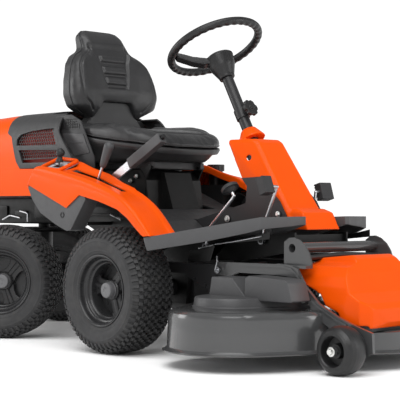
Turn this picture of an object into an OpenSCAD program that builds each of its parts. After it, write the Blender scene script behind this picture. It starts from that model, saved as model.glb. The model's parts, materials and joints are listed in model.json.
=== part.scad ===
// Articulated riding lawn mower with a front cutting deck.
// Frame: +X forward, +Y left, +Z up, ground at Z 0. Millimetres.

/* [Overall] */
// Distance between the front and rear axles
wheelbase = 887; // [860:1:920]
// Distance between the tyre centre planes of one axle
track = 712; // [690:1:730]
// How far the front axle stands ahead of the middle of the machine
axle_x = 180; // [170:0.5:190]
// Angle the rear axle is turned by in the stored pose
rest_steer = 35.4; // [0:0.1:40]
// Distance of the steering pivot ahead of the rear axle
pivot_lead = 33; // [20:1:60]

/* [Wheels] */
// Outer radius of the tyres
tyre_r = 203.5; // [195:0.5:210]
// Radius of the rim flange
rim_r = 116; // [105:1:120]
// Radius of the axle stubs
stub_r = 12.5; // [10:0.5:16]
// Radial clearance of every running fit
run_gap = 0.05; // [0.02:0.01:0.1]

/* [Bodywork] */
// Distance of the fender's outer face from the middle
body_y = 415; // [400:1:430]
// Distance of the fender's inner edge from the middle
inner_y = 292; // [285:1:300]
// Thickness of plastic panels
skin = 4; // [3:0.5:6]
// Half width of the hood
hood_y = 270; // [255:1:280]

/* [Steering] */
// Tilt of the steering column from the vertical
column_tilt = 28.5; // [20:0.5:35]
// Radius of the steering wheel's ring centre line
ring_r = 155; // [140:1:170]
// Thickness radius of the ring
ring_t = 14; // [11:0.5:16]

/* [Deck] */
// Forward position of the side blades
side_x = 507; // [495:1:520]
// Distance of the side blades from the middle
side_y = 325; // [315:1:335]
// Forward position of the middle blade
mid_x = 700; // [690:1:710]
// Radius of the deck's side lobes
lobe_r = 206; // [200:1:210]
// Radius of the deck's middle lobe
mid_r = 215; // [205:1:220]
// Half length of each blade
blade_r = 184; // [175:1:186]
// Height of the lower rim of the deck
deck_z = 50; // [40:1:60]

/* [Hidden] */
$fn = 72;
stub_hole = stub_r + run_gap;
pivot_x = -wheelbase + pivot_lead;
half_track = track / 2;
col_dir = [-sin(column_tilt), 0, cos(column_tilt)];
col_base = [243, 0, 723];
arm_in = 220;
arm_out = 230;

// ---------- helpers ----------
// Everything is laid out from the middle of the front axle.
module at_axle() translate([axle_x, 0, 0]) children();

// A drawing in X and Z, as thick as y0 to y1.
module slab(y0, y1) {
    translate([0, y1, 0])
        rotate([90, 0, 0])
            linear_extrude(y1 - y0)
                children();
}

// A drawing in X and Y, as thick as z0 to z1.
module plan(z0, z1) translate([0, 0, z0]) linear_extrude(z1 - z0) children();

// A drawing in Y and Z, as thick as x0 to x1.
module front(x0, x1) {
    translate([x0, 0, 0])
        rotate([90, 0, 90])
            linear_extrude(x1 - x0)
                children();
}

// The same thing on the other side as well.
module both() {
    children();
    mirror([0, 1, 0]) children();
}

// A box given by its two corners.
module block(a, b) translate(a) cube(b - a);

// A flat line of width w along the points, with mitred corners.
function unit(v) = v / norm(v);
function beside(pts, d) = [
    for (i = [0 : len(pts) - 1])
        let (
            a = unit(pts[max(i, 1)] - pts[max(i, 1) - 1]),
            b = unit(pts[min(i, len(pts) - 2) + 1] - pts[min(i, len(pts) - 2)]),
            m = unit(a + b)
        )
            pts[i] + d / (m * a) * [-m[1], m[0]]
];
function backwards(p) = [for (i = [len(p) - 1 : -1 : 0]) p[i]];
module strip(pts, w) polygon(concat(beside(pts, w / 2), backwards(beside(pts, -w / 2))));

// A round bar from p to q.
module rod(p, q, r) {
    d = q - p;
    translate(p)
        rotate([0, acos(d[2] / norm(d)), atan2(d[1], d[0])])
            cylinder(h = norm(d), r = r);
}

// A bent round bar.
module bent_rod(pts, r) {
    for (i = [0 : len(pts) - 2]) rod(pts[i], pts[i + 1], r);
    for (i = [1 : len(pts) - 2]) translate(pts[i]) sphere(r * 1.06);
}

// Along the steering column, up from its foot.
module on_column(t) {
    translate(col_base + t * col_dir)
        rotate([0, -column_tilt, 0])
            children();
}

// Wheel places. Local +Z points out of the machine.
module front_place(s) {
    translate([0, s * half_track, tyre_r])
        rotate([-90 * s, 0, 0])
            children();
}
module rear_turned() {
    translate([pivot_x, 0, 0])
        rotate([0, 0, rest_steer])
            children();
}
module rear_place(s) {
    rear_turned()
        translate([-pivot_lead, s * half_track, tyre_r])
            rotate([-90 * s, 0, 0])
                children();
}

// ---------- colours ----------
orange = [0.93, 0.27, 0.05];
grey = [0.27, 0.27, 0.28];
dark = [0.13, 0.13, 0.14];
black = [0.05, 0.05, 0.05];
steel = [0.75, 0.76, 0.78];
light = [0.62, 0.63, 0.65];

// ---------- wheels ----------
tyre_out = [[110, 52], [110, 67], [117, 70.5], [128, 77], [142, 81.5], [156, 82.5], [170, 81],
    [182, 77], [192, 70], [198, 62], [201.5, 48], [203, 26], [203.5, 0]];
module tyre() {
    flip = [for (i = [len(tyre_out) - 1 : -1 : 0]) [tyre_out[i][0], -tyre_out[i][1]]];
    cavity = [[109, 50], [118, 58], [140, 70], [160, 71], [178, 66], [189, 50], [191, 0],
        [189, -50], [178, -66], [160, -71], [140, -70], [118, -58], [109, -50]];
    k = tyre_r / 203.5;
    rotate_extrude($fn = 96)
        scale([k, 1])
            difference() {
                polygon(concat(tyre_out, flip));
                polygon(cavity);
            }
}

module rim() {
    difference() {
        union() {
            rotate_extrude($fn = 96)
                polygon([[105, 72], [rim_r, 72], [rim_r, 70.8], [109, 68.8], [109, 48], [92, 40],
                    [92, -40], [109, -48], [109, -68.8], [rim_r, -70.8], [rim_r, -72], [105, -72],
                    [105, -50], [88, -42], [88, 42], [105, 50]]);
            translate([0, 0, 6]) cylinder(h = 12, r = 90);
            translate([0, 0, -40]) cylinder(h = 68, r = 29);
            for (a = [0 : 120 : 240])
                rotate(a + 80)
                    translate([24, -9, 17])
                        cube([65.5, 18, 8]);
        }
        // three windows between the spokes
        for (a = [20 : 120 : 260])
            rotate(a)
                intersection() {
                    difference() {
                        translate([0, 0, 2]) cylinder(h = 20, r = 83);
                        cylinder(h = 30, r = 42);
                    }
                    linear_extrude(30) polygon([[20, 0], [70, -62], [100, -40], [100, 40], [70, 62]]);
                }
        translate([0, 0, -60])
            cylinder(h = 88, r = stub_hole);
    }
    // hub cap
    rotate_extrude()
        polygon([[0, 28], [25, 28], [25, 44], [22, 49], [12, 50], [11, 48.4], [0, 48.4]]);
}

module front_left_tyre() at_axle() color(black) front_place(1) tyre();
module front_right_tyre() at_axle() color(black) front_place(-1) tyre();
module rear_left_tyre() at_axle() color(black) rear_place(1) tyre();
module rear_right_tyre() at_axle() color(black) rear_place(-1) tyre();
module front_left_rim() at_axle() color(dark) front_place(1) rim();
module front_right_rim() at_axle() color(dark) front_place(-1) rim();
module rear_left_rim() at_axle() color(dark) rear_place(1) rim();
module rear_right_rim() at_axle() color(dark) rear_place(-1) rim();

// ---------- chassis ----------
module axle_tube() {
    stub = half_track + 24;
    rotate([90, 0, 0]) cylinder(h = 600, r = 30, center = true);
    rotate([90, 0, 0]) cylinder(h = 2 * stub, r = stub_r, center = true);
    both() translate([0, 200, 0]) rotate([90, 0, 0]) cylinder(h = 24, r = 40);
}

module front_axle() {
    at_axle() color(dark) translate([0, 0, tyre_r]) {
        axle_tube();
        block([-85, -95, -60], [85, 95, 92]);
        translate([0, 0, -20]) rotate([90, 0, 0]) cylinder(h = 170, r = 66, center = true);
    }
}

module rear_axle() {
    at_axle() color(dark) rear_turned() translate([-pivot_lead, 0, tyre_r]) {
        axle_tube();
        block([-80, -90, -60], [70, 90, 80]);
        translate([0, 0, -15]) rotate([90, 0, 0]) cylinder(h = 160, r = 68, center = true);
        translate([pivot_lead, 0, 80]) cylinder(h = 92.5, r = 34);
        // steering pin and pulley
        translate([pivot_lead, 0, 150]) cylinder(h = 152, r = 22);
        translate([pivot_lead, 0, 297]) cylinder(h = 8, r = 34);
        translate([pivot_lead, 0, 172.5]) difference() {
            rotate_extrude()
                polygon([[0, 0], [125, 0], [120, 6], [120, 10], [125, 16], [0, 16]]);
            for (a = [0 : 60 : 300])
                rotate(a)
                    translate([72, 0, -1])
                        cylinder(h = 20, r = 24);
        }
    }
}

rail = [[-1180, 425], [-1180, 500], [-240, 500], [-130, 420], [60, 400], [150, 360], [560, 392],
    [560, 335], [330, 300], [92, 300], [92, 255], [28, 255], [28, 300], [-160, 330], [-330, 430]];
rail_low = 430;
// place of each pin: X, from Y, to Y, Z
lever_pins = [[436, -124, -150, 365], [250, -124, -208, 345], [385, 124, 150, 355],
    [-179, -260, -280, 532], [-175, -124, -358, 415]];
hood_hinge = [-1268, 515];
seat_hinge = [-98, 606];
module main_frame() {
    at_axle() color(black) difference() {
        union() {
            both() slab(118, 126) polygon(rail);
            both() block([-1180, 126, 492], [-240, 146, 500]);
            both() block([-1180, 126, 425], [-330, 146, 433]);
            for (x = [-1180, -600, -330, 200, 540])
                block([x, -118, x < -300 ? rail_low : x < 300 ? 315 : 345],
                    [x + 8, 118, x < -300 ? 492 : x < 300 ? 333 : 385]);
            // plate that carries the steering pivot
            block([pivot_x - 80, -118, 470], [pivot_x + 80, 118, 478]);
            translate([pivot_x, 0, 425]) cylinder(h = 72, r = 42);
            // hangers of the front axle
            both() slab(98, 117.6) polygon([[-70, 150], [70, 150], [90, 296], [120, 330],
                [-150, 360], [-110, 296]]);
            both() slab(117, 118.2) polygon([[-60, 305], [80, 305], [60, 340], [-100, 345]]);
            // bracket of the lift lever
            slab(-262, -254) polygon([[-235, 470], [-130, 470], [-150, 548], [-200, 552]]);
            block([-235, -254, 470], [-130, -118, 478]);
            // pivot pins of the lift frame
            both() translate([60, 126, 274]) rotate([-90, 0, 0]) cylinder(h = 92, r = 8);
            // pins of the pedals and hand levers
            for (p = lever_pins) rod([p[0], p[1], p[3]], [p[0], p[2], p[3]], 6);
            // hinge of the hood
            both() slab(96, 102) polygon([[-1175, 440], [-1175, 480], [-1262, 526], [-1278, 522],
                [-1278, 508], [-1215, 440]]);
            both() rod([hood_hinge[0], 82, hood_hinge[1]], [hood_hinge[0], 98, hood_hinge[1]], 5);
            // rear plate with the hitch hole
            block([-1215, -70, 440], [-1180, 70, 448]);
            // floor plate under the seat
            block([-560, -117.8, 484], [-330, 117.8, 492]);
        }
        translate([pivot_x, 0, 400]) cylinder(h = 120, r = 22 + run_gap);
        translate([-1198, 0, 400]) cylinder(h = 90, r = 8);
        translate([0, 0, tyre_r]) rotate([90, 0, 0]) cylinder(h = 250, r = 30, center = true);
    }
}

// ---------- body ----------
crest = [[-363, 612], [-210, 585], [-120, 566], [-32, 543], [20, 527], [62, 511], [107, 486],
    [140, 460], [170, 432], [198, 404], [220, 382]];
under = [[190, 376], [176, 388], [148, 408], [115, 436], [67, 463], [20, 477], [-24, 489],
    [-125, 510]];
notch = [[-193, 468], [-403, 547]];
inner_low = [[190, 376], [150, 408], [110, 440], [60, 468], [-10, 492], [-90, 512],
    [-260, 552], [-380, 580]];

module top_skin(drop) {
    low = [for (i = [len(crest) - 1 : -1 : 0]) [crest[i][0] - drop * 0.45, crest[i][1] - drop]];
    polygon(concat(crest, low));
}

module fender_shell() {
    slab(body_y - skin, body_y) polygon(concat(crest, under, notch));
    slab(inner_y, body_y - skin) top_skin(skin + 1);
    slab(inner_y, inner_y + skin) polygon(concat(crest, inner_low));
    slab(inner_y, inner_y + 16) polygon([[-300, 601], [-290, 622], [-262, 626], [-190, 600],
        [-102, 580], [-40, 552], [-40, 543], [-100, 558], [-200, 580]]);
    front(-400, -396) polygon([[inner_y + 0, 552], [body_y - skin, 552], [body_y - skin, 556],
        [inner_y, 580]]);
}

// the foot of the fender ends just above the footboard
module board_clearance() {
    slab(-430, 430) polygon([[186, 340], [186, 374.4], [240, 384.6], [240, 340]]);
}

module right_fender() {
    at_axle() color(orange) difference() {
        mirror([0, 1, 0]) fender_shell();
        // slot of the height lever
        block([-232, -359, 480], [30, -341, 640]);
        // opening under the control panel
        block([-352, -400, 560], [-246, -316, 650]);
        board_clearance();
    }
}

module left_fender() {
    at_axle() color(orange) difference() {
        fender_shell();
        // filler neck of the tank
        translate([-260, 350, 560]) cylinder(h = 90, r = 34);
        board_clearance();
    }
}

console_line = [[-412, 540], [-384, 496], [-338, 450], [-254, 411], [-197, 391], [-175, 393],
    [-95, 496]];
module console() {
    slab(body_y - 9.5, body_y - 5.5) polygon([[-408, 540], [-384, 496], [-338, 450],
        [-254, 411], [-197, 391], [-175, 393], [-95, 496], [-112, 512], [-150, 535], [-396, 550]]);
    slab(body_y - 60, body_y - 9.5) strip(console_line, 4);
}

module console_hole() {
    translate([-217, 0, 444])
        rotate([90, 0, 0])
            cylinder(h = 1200, r = 7, center = true);
}

module side_consoles() {
    at_axle() color(grey) difference() {
        both() console();
        console_hole();
    }
}

module on_panel() {
    translate([-299, -358, 601])
        rotate([0, 10, 0])
            children();
}

module control_panel() {
    at_axle() color(light) on_panel() difference() {
        translate([0, 0, -6]) cube([100, 78, 8], center = true);
        translate([-8, 4, -20]) cube([36, 8, 40], center = true);
        translate([34, 20, -20]) cylinder(h = 40, r = 7.5 + run_gap);
    }
}

module throttle_lever() {
    at_axle() color(black) on_panel() {
        translate([-9, 4, -24]) rotate([90, 0, 0]) cylinder(h = 5, r = 8, center = true);
        translate([-9, 4, 14]) cube([9, 5, 72], center = true);
        translate([-9, 4, 14]) cube([18, 16, 20], center = true);
        translate([-9, 4, 52]) rotate([90, 0, 0]) cylinder(h = 17, r = 14, center = true);
    }
}

module ignition_key() {
    at_axle() color(black) on_panel() translate([34, 20, 0]) {
        translate([0, 0, -18]) cylinder(h = 26, r = 7.5);
        translate([0, 0, 14]) cube([5, 20, 14], center = true);
    }
}

module body_base() {
    at_axle() color(dark) difference() {
        union() {
            slab(-240, 240) strip([[-320, 560], [-250, 530], [-120, 478], [20, 448], [90, 424],
                [150, 385]], 5);
            both() slab(236, 240) polygon([[-322, 558], [-252, 528], [-122, 476], [20, 446],
                [88, 422], [150, 385], [150, 375], [60, 412], [-130, 432], [-322, 510]]);
        }
        block([-420, -131, 400], [-36, 131, 640]);
        block([80, -92, 300], [170, 92, 500]);
        // room for the bracket of the lift lever
        block([-240, -244, 420], [-125, -232, 481]);
    }
}

module fuel_tank() {
    at_axle() color(black) difference() {
        union() {
            block([-345, 300, 462], [-175, 398, 552]);
            translate([-260, 350, 552]) cylinder(h = 54, r = 26);
        }
        block([-341, 304, 466], [-179, 394, 548]);
        translate([-260, 350, 540]) cylinder(h = 60, r = 22);
    }
    // cap with finger grooves
    at_axle() color(black) translate([-260, 350, 604]) difference() {
        cylinder(h = 24, r = 32);
        for (a = [0 : 30 : 330])
            rotate(a)
                translate([33, 0, 4])
                    cylinder(h = 30, r = 3);
    }
}

// ---------- seat ----------
module seat_support() {
    at_axle() color(black) {
        both() slab(122, 128) polygon([[-410, 500], [-410, 598], [-150, 598], [-119, 560],
            [-119, 500]]);
        block([-410, -128, 592], [-150, 128, 598]);
        block([-410, -122, 500], [-404, 122, 592]);
        slab(-128, 128) polygon([[-151, 598], [-144, 598], [-115, 562], [-97, 440], [-103, 440],
            [-121, 559]]);
        // battery cover
        slab(-62, 62) polygon([[-117.5, 575], [-112, 590], [-96, 588], [-42, 436], [-46, 430],
            [-101, 430]]);
        // hinge of the seat
        both() slab(120, 126) polygon([[-152, 580], [-152, 597], [seat_hinge[0], 613],
            [seat_hinge[0] + 7, 606], [seat_hinge[0], 599], [-118, 565]]);
        both() rod([seat_hinge[0], 98, seat_hinge[1]], [seat_hinge[0], 121, seat_hinge[1]], 5);
        both() translate([-160, 128, 575]) rotate([-90, 0, 0]) cylinder(h = 6, r = 9);
        both() translate([-190, 128, 560]) rotate([-90, 0, 0]) cylinder(h = 6, r = 9);
    }
}

module seat_shell() {
    at_axle() color(black) {
        intersection() {
            slab(-205, 205) polygon([[-420, 640], [-396, 614], [-92, 614], [-52, 640]]);
            plan(600, 650) polygon([[-420, -170], [-380, -205], [-110, -200], [-60, -120],
                [-50, 0], [-60, 120], [-110, 200], [-380, 205], [-420, 170]]);
        }
        block([-380, -110, 600], [-110, 110, 614]);
        both() difference() {
            block([-112, 100, 599], [-84, 118, 615]);
            rod([seat_hinge[0], 90, seat_hinge[1]], [seat_hinge[0], 130, seat_hinge[1]],
                5 + run_gap);
        }
        // neck that carries the backrest
        intersection() {
            slab(-160, 160) polygon([[-474, 844.5], [-424, 844.5], [-418, 800], [-433, 750],
                [-431, 614], [-480, 614]]);
            front(-600, -380) polygon([[-100, 614], [100, 614], [136, 700], [136, 750],
                [106, 786], [65, 844.5], [-65, 844.5], [-106, 786], [-136, 750], [-136, 700]]);
        }
        block([-445, -90, 616], [-400, 90, 634]);
    }
}

cushion_plan = [[-432, 150], [-420, 185], [-390, 212], [-330, 227], [-230, 226], [-150, 218],
    [-90, 200], [-50, 165], [-22, 110], [-8, 50]];
function mirrored(p) = concat(p, [for (i = [len(p) - 1 : -1 : 0]) [p[i][0], -p[i][1]]]);

module seat_cushion() {
    at_axle() color(dark) {
        intersection() {
            slab(-230, 230) polygon([[-425, 640.5], [-58, 640.5], [-22, 676], [-5, 692],
                [-10, 716], [-26, 732], [-60, 742], [-140, 744], [-250, 736], [-340, 738],
                [-430, 752]]);
            plan(600, 800) polygon(mirrored(cushion_plan));
        }
        both() intersection() {
            slab(150, 222) polygon([[-425, 700], [-80, 700], [-60, 738], [-110, 752], [-230, 758],
                [-330, 760], [-425, 764]]);
            plan(600, 800) polygon([[-425, 158], [-415, 180], [-385, 204], [-330, 218],
                [-230, 217], [-150, 208], [-95, 190], [-70, 166], [-120, 158], [-300, 152]]);
        }
    }
}

back_outline = [[112, 786], [177, 826], [193, 888], [184, 957], [167, 1009], [146, 1044],
    [104, 1082], [60, 1121]];
module seat_back() {
    at_axle() color(dark) difference() {
        intersection() {
            slab(-200, 200) polygon([[-430, 786], [-407, 826], [-410, 888], [-426, 957],
                [-442, 1009], [-462, 1050], [-500, 1103], [-518, 1121], [-548, 1118],
                [-560, 1100], [-532, 1010], [-512, 950], [-500, 880], [-496, 810], [-480, 786]]);
            front(-600, -380) polygon(concat(back_outline,
                [for (i = [len(back_outline) - 1 : -1 : 0])
                    [-back_outline[i][0], back_outline[i][1]]]));
        }
        front(-600, -380) polygon([[-112, 780], [112, 780], [66, 846], [-66, 846]]);
    }
}

// ---------- engine end ----------
// Cross-section of the hood, drawn d smaller.
module hood_section(d) {
    half = [[hood_y - d, 490], [hood_y - d, 690], [hood_y - 7 - d, 740],
        [hood_y - 22 - d * 0.9, 775 - d * 0.5], [hood_y - 46 - d * 0.7, 800 - d * 0.8],
        [hood_y - 90 - d * 0.3, 812 - d], [100, 818 - d]];
    polygon(concat(half, [for (i = [len(half) - 1 : -1 : 0]) [-half[i][0], half[i][1]]]));
}

hood_side = [[-1288, 510], [-1288, 600], [-1280, 660], [-1255, 712], [-1205, 752], [-1120, 786],
    [-1000, 806], [-860, 815], [-708, 818], [-437, 818], [-290, 818], [-290, 510]];
module hood_body(d) {
    low = d > 0 ? 500 : 510;
    intersection() {
        front(-1288 + d, -290) hood_section(d);
        slab(-300, 300) polygon([for (p = hood_side) [p[0] + d, p[1] > 520 ? p[1] - d : low]]);
        plan(400, 900) polygon([[-290, -300], [-290, 300], [-1170, 300], [-1170, hood_y - d],
            [-1225, hood_y - 14 - d], [-1262, hood_y - 44 - d], [-1280 + d, hood_y - 90 - d],
            [-1288 + d, 130], [-1288 + d, -130], [-1280 + d, -hood_y + 90 + d],
            [-1262, -hood_y + 44 + d], [-1225, -hood_y + 14 + d], [-1170, -hood_y + d],
            [-1170, -300]]);
    }
}

frame_line = [[-735, 752], [-708, 840], [-437, 840], [-437, 800], [-303, 634], [-640, 634],
    [-662, 644], [-692, 702]];
upper_window = [[-668, 690], [-658, 716], [-630, 740], [-590, 752], [-463, 758], [-424, 690]];
lower_window = [[-646, 648], [-655, 674], [-410, 674], [-392, 648]];
module hood_shell() {
    at_axle() color(orange) difference() {
        hood_body(0);
        difference() {
            hood_body(4);
            // strengthening rib across the roof
            block([-1010, -300, 790], [-1000, 300, 830]);
        }
        slab(-400, 400) polygon([[-737, 751], [-710, 841], [-200, 841], [-200, 500], [-566, 500],
            [-566, 632], [-641, 632], [-664, 642], [-694, 701]]);
        both() block([-1300, 94, 500], [-1270, 104, 546]);
    }
    // eyes on the hinge pins
    at_axle() color(orange) both() difference() {
        union() {
            rod([hood_hinge[0], 84, hood_hinge[1]], [hood_hinge[0], 93, hood_hinge[1]], 11);
            block([-1285, 84, 511], [hood_hinge[0], 93, 526]);
        }
        rod([hood_hinge[0], 80, hood_hinge[1]], [hood_hinge[0], 99, hood_hinge[1]], 5 + run_gap);
    }
}

module hood_frame() {
    at_axle() color(grey) difference() {
        intersection() {
            difference() {
                hood_body(-1);
                hood_body(5);
            }
            slab(-400, 400) polygon(frame_line);
        }
        block([-522, -214, 700], [-200, 214, 900]);
        slab(-400, 400) polygon(upper_window);
        slab(-400, 400) polygon(lower_window);
    }
}

// Honeycomb sheet behind the windows.
module honeycomb() {
    pitch = 13;
    difference() {
        polygon([[-680, 680], [-670, 722], [-630, 750], [-590, 762], [-460, 764], [-384, 642],
            [-652, 640], [-664, 672]]);
        for (i = [0 : 22], j = [0 : 10]) {
            x = -668 + pitch * (i + (j % 2) / 2);
            z = 650 + pitch * 0.866 * j;
            left = z > 680 ? -662 + max(0, z - 716) * 1.1 : -644;
            if (x > left && x < -432 - (z - 690) * 0.62 && z < 750 && abs(z - 682) > 9)
                translate([x, z])
                    rotate(30)
                        circle(r = 6.4, $fn = 6);
        }
    }
}

module vent_mesh() {
    at_axle() color(dark) intersection() {
        difference() {
            hood_body(5);
            hood_body(7);
        }
        slab(-400, 400) honeycomb();
    }
}

module intake_housing() {
    at_axle() color(dark) difference() {
        intersection() {
            slab(-228, 228) polygon([[-562, 500], [-562, 798], [-514, 798], [-514, 640],
                [-470, 600], [-440, 560], [-440, 500]]);
            front(-600, -400) polygon([[-228, 500], [-228, 770], [-200, 797], [200, 797],
                [228, 770], [228, 500]]);
        }
        block([-558, -222, 600], [-518, 222, 788]);
        for (s = [-1, 1], i = [0 : 9], j = [0 : 2])
            translate([-540, s * (100 + 11 * i + (j % 2) * 5.5), 752 + 10 * j])
                rotate([0, 90, 0])
                    cylinder(h = 60, r = 4.5, $fn = 6);
        block([-450, -130, 490], [-430, 130, 610]);
    }
}

module engine_block() {
    at_axle() color(grey) {
        difference() {
            block([-1010, -112, 496], [-700, 112, 640]);
            // room for the head of the steering pivot
            translate([pivot_x, 0, 490]) cylinder(h = 24, r = 48);
        }
        for (s = [-1, 1], i = [0 : 5])
            block([-960, s > 0 ? 110 : -178, 520 + 18 * i],
                [-780, s > 0 ? 178 : -110, 526 + 18 * i]);
        both() block([-950, 110, 515], [-790, 140, 632]);
        both() block([-990, 100, 500], [-720, 140, 513]);
        // fan housing on top
        translate([-868, 0, 639]) cylinder(h = 23, r = 70);
        translate([-868, 0, 661]) difference() {
            union() {
                cylinder(h = 90, r = 150);
                translate([0, 0, 90]) cylinder(h = 14, r1 = 150, r2 = 138);
            }
            translate([0, 0, 6]) cylinder(h = 90, r = 140);
            for (a = [0 : 20 : 340])
                rotate(a)
                    translate([96, -8, 80])
                        cube([40, 14, 40]);
        }
    }
}

module muffler() {
    at_axle() color(steel) {
        translate([-1110, -130, 585]) rotate([-90, 0, 0]) cylinder(h = 260, r = 52);
        rod([-1110, 100, 560], [-1020, 100, 540], 12);
        rod([-1110, -100, 560], [-1190, -100, 540], 14);
    }
}

// ---------- steering post ----------
module tunnel() {
    at_axle() color(dark) {
        both() slab(84, 90) polygon([[98, 406], [98, 430], [318, 482], [324, 537], [300, 563],
            [377, 566], [462, 489], [490, 444], [490, 404]]);
        slab(-84, 84) strip([[101, 424], [318, 476]], 5);
        block([96, -84, 406], [102, 84, 424]);
        both() translate([240, 90, 432]) rotate([-90, 0, 0]) cylinder(h = 4, r = 8, $fn = 6);
        both() translate([462, 90, 448]) rotate([-90, 0, 0]) cylinder(h = 4, r = 6, $fn = 6);
    }
}

module cowl_solid(d) {
    top = 689 - d;
    hull() {
        plan(top - 1, top) polygon([[232 + d, 76 - d], [316 - d, 62 - d], [330 - d, 52 - d],
            [330 - d, -52 + d], [316 - d, -62 + d], [232 + d, -76 + d]]);
        plan(top - 12, top - 11) polygon([[230 + d, 81 - d], [332 - d, 66 - d], [346 - d, 56 - d],
            [346 - d, -56 + d], [332 - d, -66 + d], [230 + d, -81 + d]]);
        plan(430, 431) polygon([[364 + d, 82 - d], [500 - d, 80 - d], [514 - d, 70 - d],
            [514 - d, -70 + d], [500 - d, -80 + d], [364 + d, -82 + d]]);
    }
}

module apron(d) {
    hull() {
        plan(464 - d, 465 - d) polygon([[430, 64 - d], [516 - d, 64 - d], [516 - d, -64 + d],
            [430, -64 + d]]);
        plan(452 - d, 453 - d) polygon([[430, 74 - d], [546 - d, 72 - d], [546 - d, -72 + d],
            [430, -74 + d]]);
        plan(398, 399) polygon([[430, 79 - d], [570 - d, 77 - d], [570 - d, -77 + d],
            [430, -79 + d]]);
    }
}

module cowl() {
    at_axle() color(orange) difference() {
        union() {
            cowl_solid(0);
            apron(0);
            on_column(-40) cylinder(h = 40, r1 = 48, r2 = 25);
        }
        cowl_solid(4);
        translate([0, 0, -0.01]) apron(4);
        block([360, -78, 380], [450, 78, 440]);
        on_column(-90) cylinder(h = 140, r = 19);
        // sight hole in each side
        translate([318, 0, 628]) rotate([90, 0, 0]) cylinder(h = 300, r = 8, center = true);
    }
}

module steering_column() {
    at_axle() color(dark) {
        difference() {
            union() {
                on_column(-250) cylinder(h = 448, r = 19);
                on_column(42) cylinder(h = 34, r = 23);
                on_column(52) translate([18, 0, 6]) rotate([0, 90, 0]) cylinder(h = 14, r = 8);
            }
            on_column(-260) cylinder(h = 400, r = 14);
            on_column(-260) cylinder(h = 500, r = 10 + run_gap);
        }
    }
}

module column_knob() {
    at_axle() color(black) on_column(58) translate([32.5, 0, 0]) rotate([0, 90, 0]) {
        cylinder(h = 5, r = 11);
        translate([0, 0, 5]) difference() {
            cylinder(h = 12, r = 29);
            for (a = [0 : 60 : 300])
                rotate(a)
                    translate([34, 0, -1])
                        cylinder(h = 20, r = 9);
        }
        translate([0, 0, 17]) cylinder(h = 5, r = 9);
    }
}

module steering_hub() {
    at_axle() color(black) {
        difference() {
            union() {
                on_column(0) rotate_extrude(angle = 360) polygon([[0, -240], [10, -240], [10, 199], [27, 199],
                    [27, 206], [42, 242], [49, 282], [42, 287], [0, 287]]);
                for (s = [-1, 1])
                    on_column(262) rotate(s * 122) slab(-17, 17)
                        polygon([[30, 0], [30, 20], [46, 22], [90, 40], [136, 68], [143, 62],
                            [140, 50], [96, 18], [60, 0]]);
            }
            on_column(324) rotate_extrude($fn = 96) translate([ring_r, 0]) circle(r = ring_t);
        }
    }
}

module steering_ring() {
    at_axle() color(black) on_column(324) rotate_extrude($fn = 96)
        translate([ring_r, 0]) circle(r = ring_t);
}

// ---------- footboards ----------
board_line = [[192, 375], [535, 440], [590, 442], [590, 400], [520, 401], [206, 335]];
board_plan = [[180, 415], [200, 415], [535, 252], [578, 112], [578, 92], [440, 92], [440, 102],
    [180, 102]];
board_inner = [[170, 408], [198, 409], [531, 248], [573, 111], [573, 96], [444, 96], [444, 106],
    [170, 106]];
module footboard() {
    intersection() {
        slab(60, 430) polygon(board_line);
        plan(300, 500) difference() {
            polygon(board_plan);
            polygon(board_inner);
        }
    }
    intersection() {
        slab(60, 430) polygon([[192, 375], [535, 440], [590, 442], [590, 438], [535.5, 436],
            [193, 371]]);
        plan(300, 500) polygon(board_plan);
    }
    // ribs under the tread
    intersection() {
        slab(60, 430) polygon([[200, 374], [535, 438], [575, 440], [575, 424], [535, 422],
            [205, 361]]);
        plan(300, 500) {
            for (x = [250, 320, 390, 480]) translate([x, 110]) square([3, 300]);
            for (y = [160, 215]) translate([200, y]) square([370, 3]);
        }
        plan(300, 500) polygon(board_plan);
    }
}

module pedal_slots() {
    block([436, -148, 380], [480, -132, 460]);
    block([244, -209, 340], [292, -191, 420]);
    block([382, 132, 380], [436, 148, 460]);
}

module footboards() {
    at_axle() color(grey) difference() {
        both() footboard();
        pedal_slots();
    }
}

// ---------- pedals ----------
module pedal_eye(x, y, z) {
    translate([x, y, z])
        rotate([90, 0, 0])
            difference() {
                cylinder(h = 12, r = 11, center = true);
                cylinder(h = 14, r = 6 + run_gap, center = true);
            }
}

module forward_pedal() {
    at_axle() color(steel) {
        pedal_eye(436, -140, 365);
        bent_rod([[437.8, -140, 372.8], [450, -140, 424], [500, -140, 532], [500, -172, 534]], 5);
    }
}

module forward_pad() {
    at_axle() color(black) translate([500, -192, 534]) rotate([0, -20, 0]) difference() {
        translate([-14, -22, -26]) cube([30, 41.5, 54]);
        for (z = [-18 : 9 : 22])
            translate([-16, -30, z])
                cube([5, 60, 3]);
    }
}

module reverse_pedal() {
    at_axle() color(steel) {
        pedal_eye(250, -200, 345);
        bent_rod([[251.8, -200, 352.8], [264, -200, 404], [366, -200, 494], [374, -200, 505],
            [366, -200, 516]], 5);
    }
}

module reverse_pad() {
    at_axle() color(black) translate([365.6, -200, 516.5]) rotate([0, -36.9, 0]) {
        cylinder(h = 10, r1 = 10, r2 = 20);
        translate([0, 0, 10]) cylinder(h = 9, r = 29);
        translate([0, 0, 19]) cylinder(h = 3, r1 = 29, r2 = 26);
    }
}

module brake_pedal() {
    at_axle() color(steel) {
        pedal_eye(385, 140, 355);
        bent_rod([[386.6, 140, 362.8], [400, 140, 430], [414, 140, 519], [414, 153, 520]], 5);
    }
}

module brake_pad() {
    at_axle() color(black) translate([414, 180, 520]) rotate([0, -16, 0]) difference() {
        translate([-14, -26.5, -28]) cube([28, 56, 56]);
        for (z = [-20 : 10 : 24])
            translate([-16, -40, z])
                cube([5, 80, 3]);
    }
}

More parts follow.
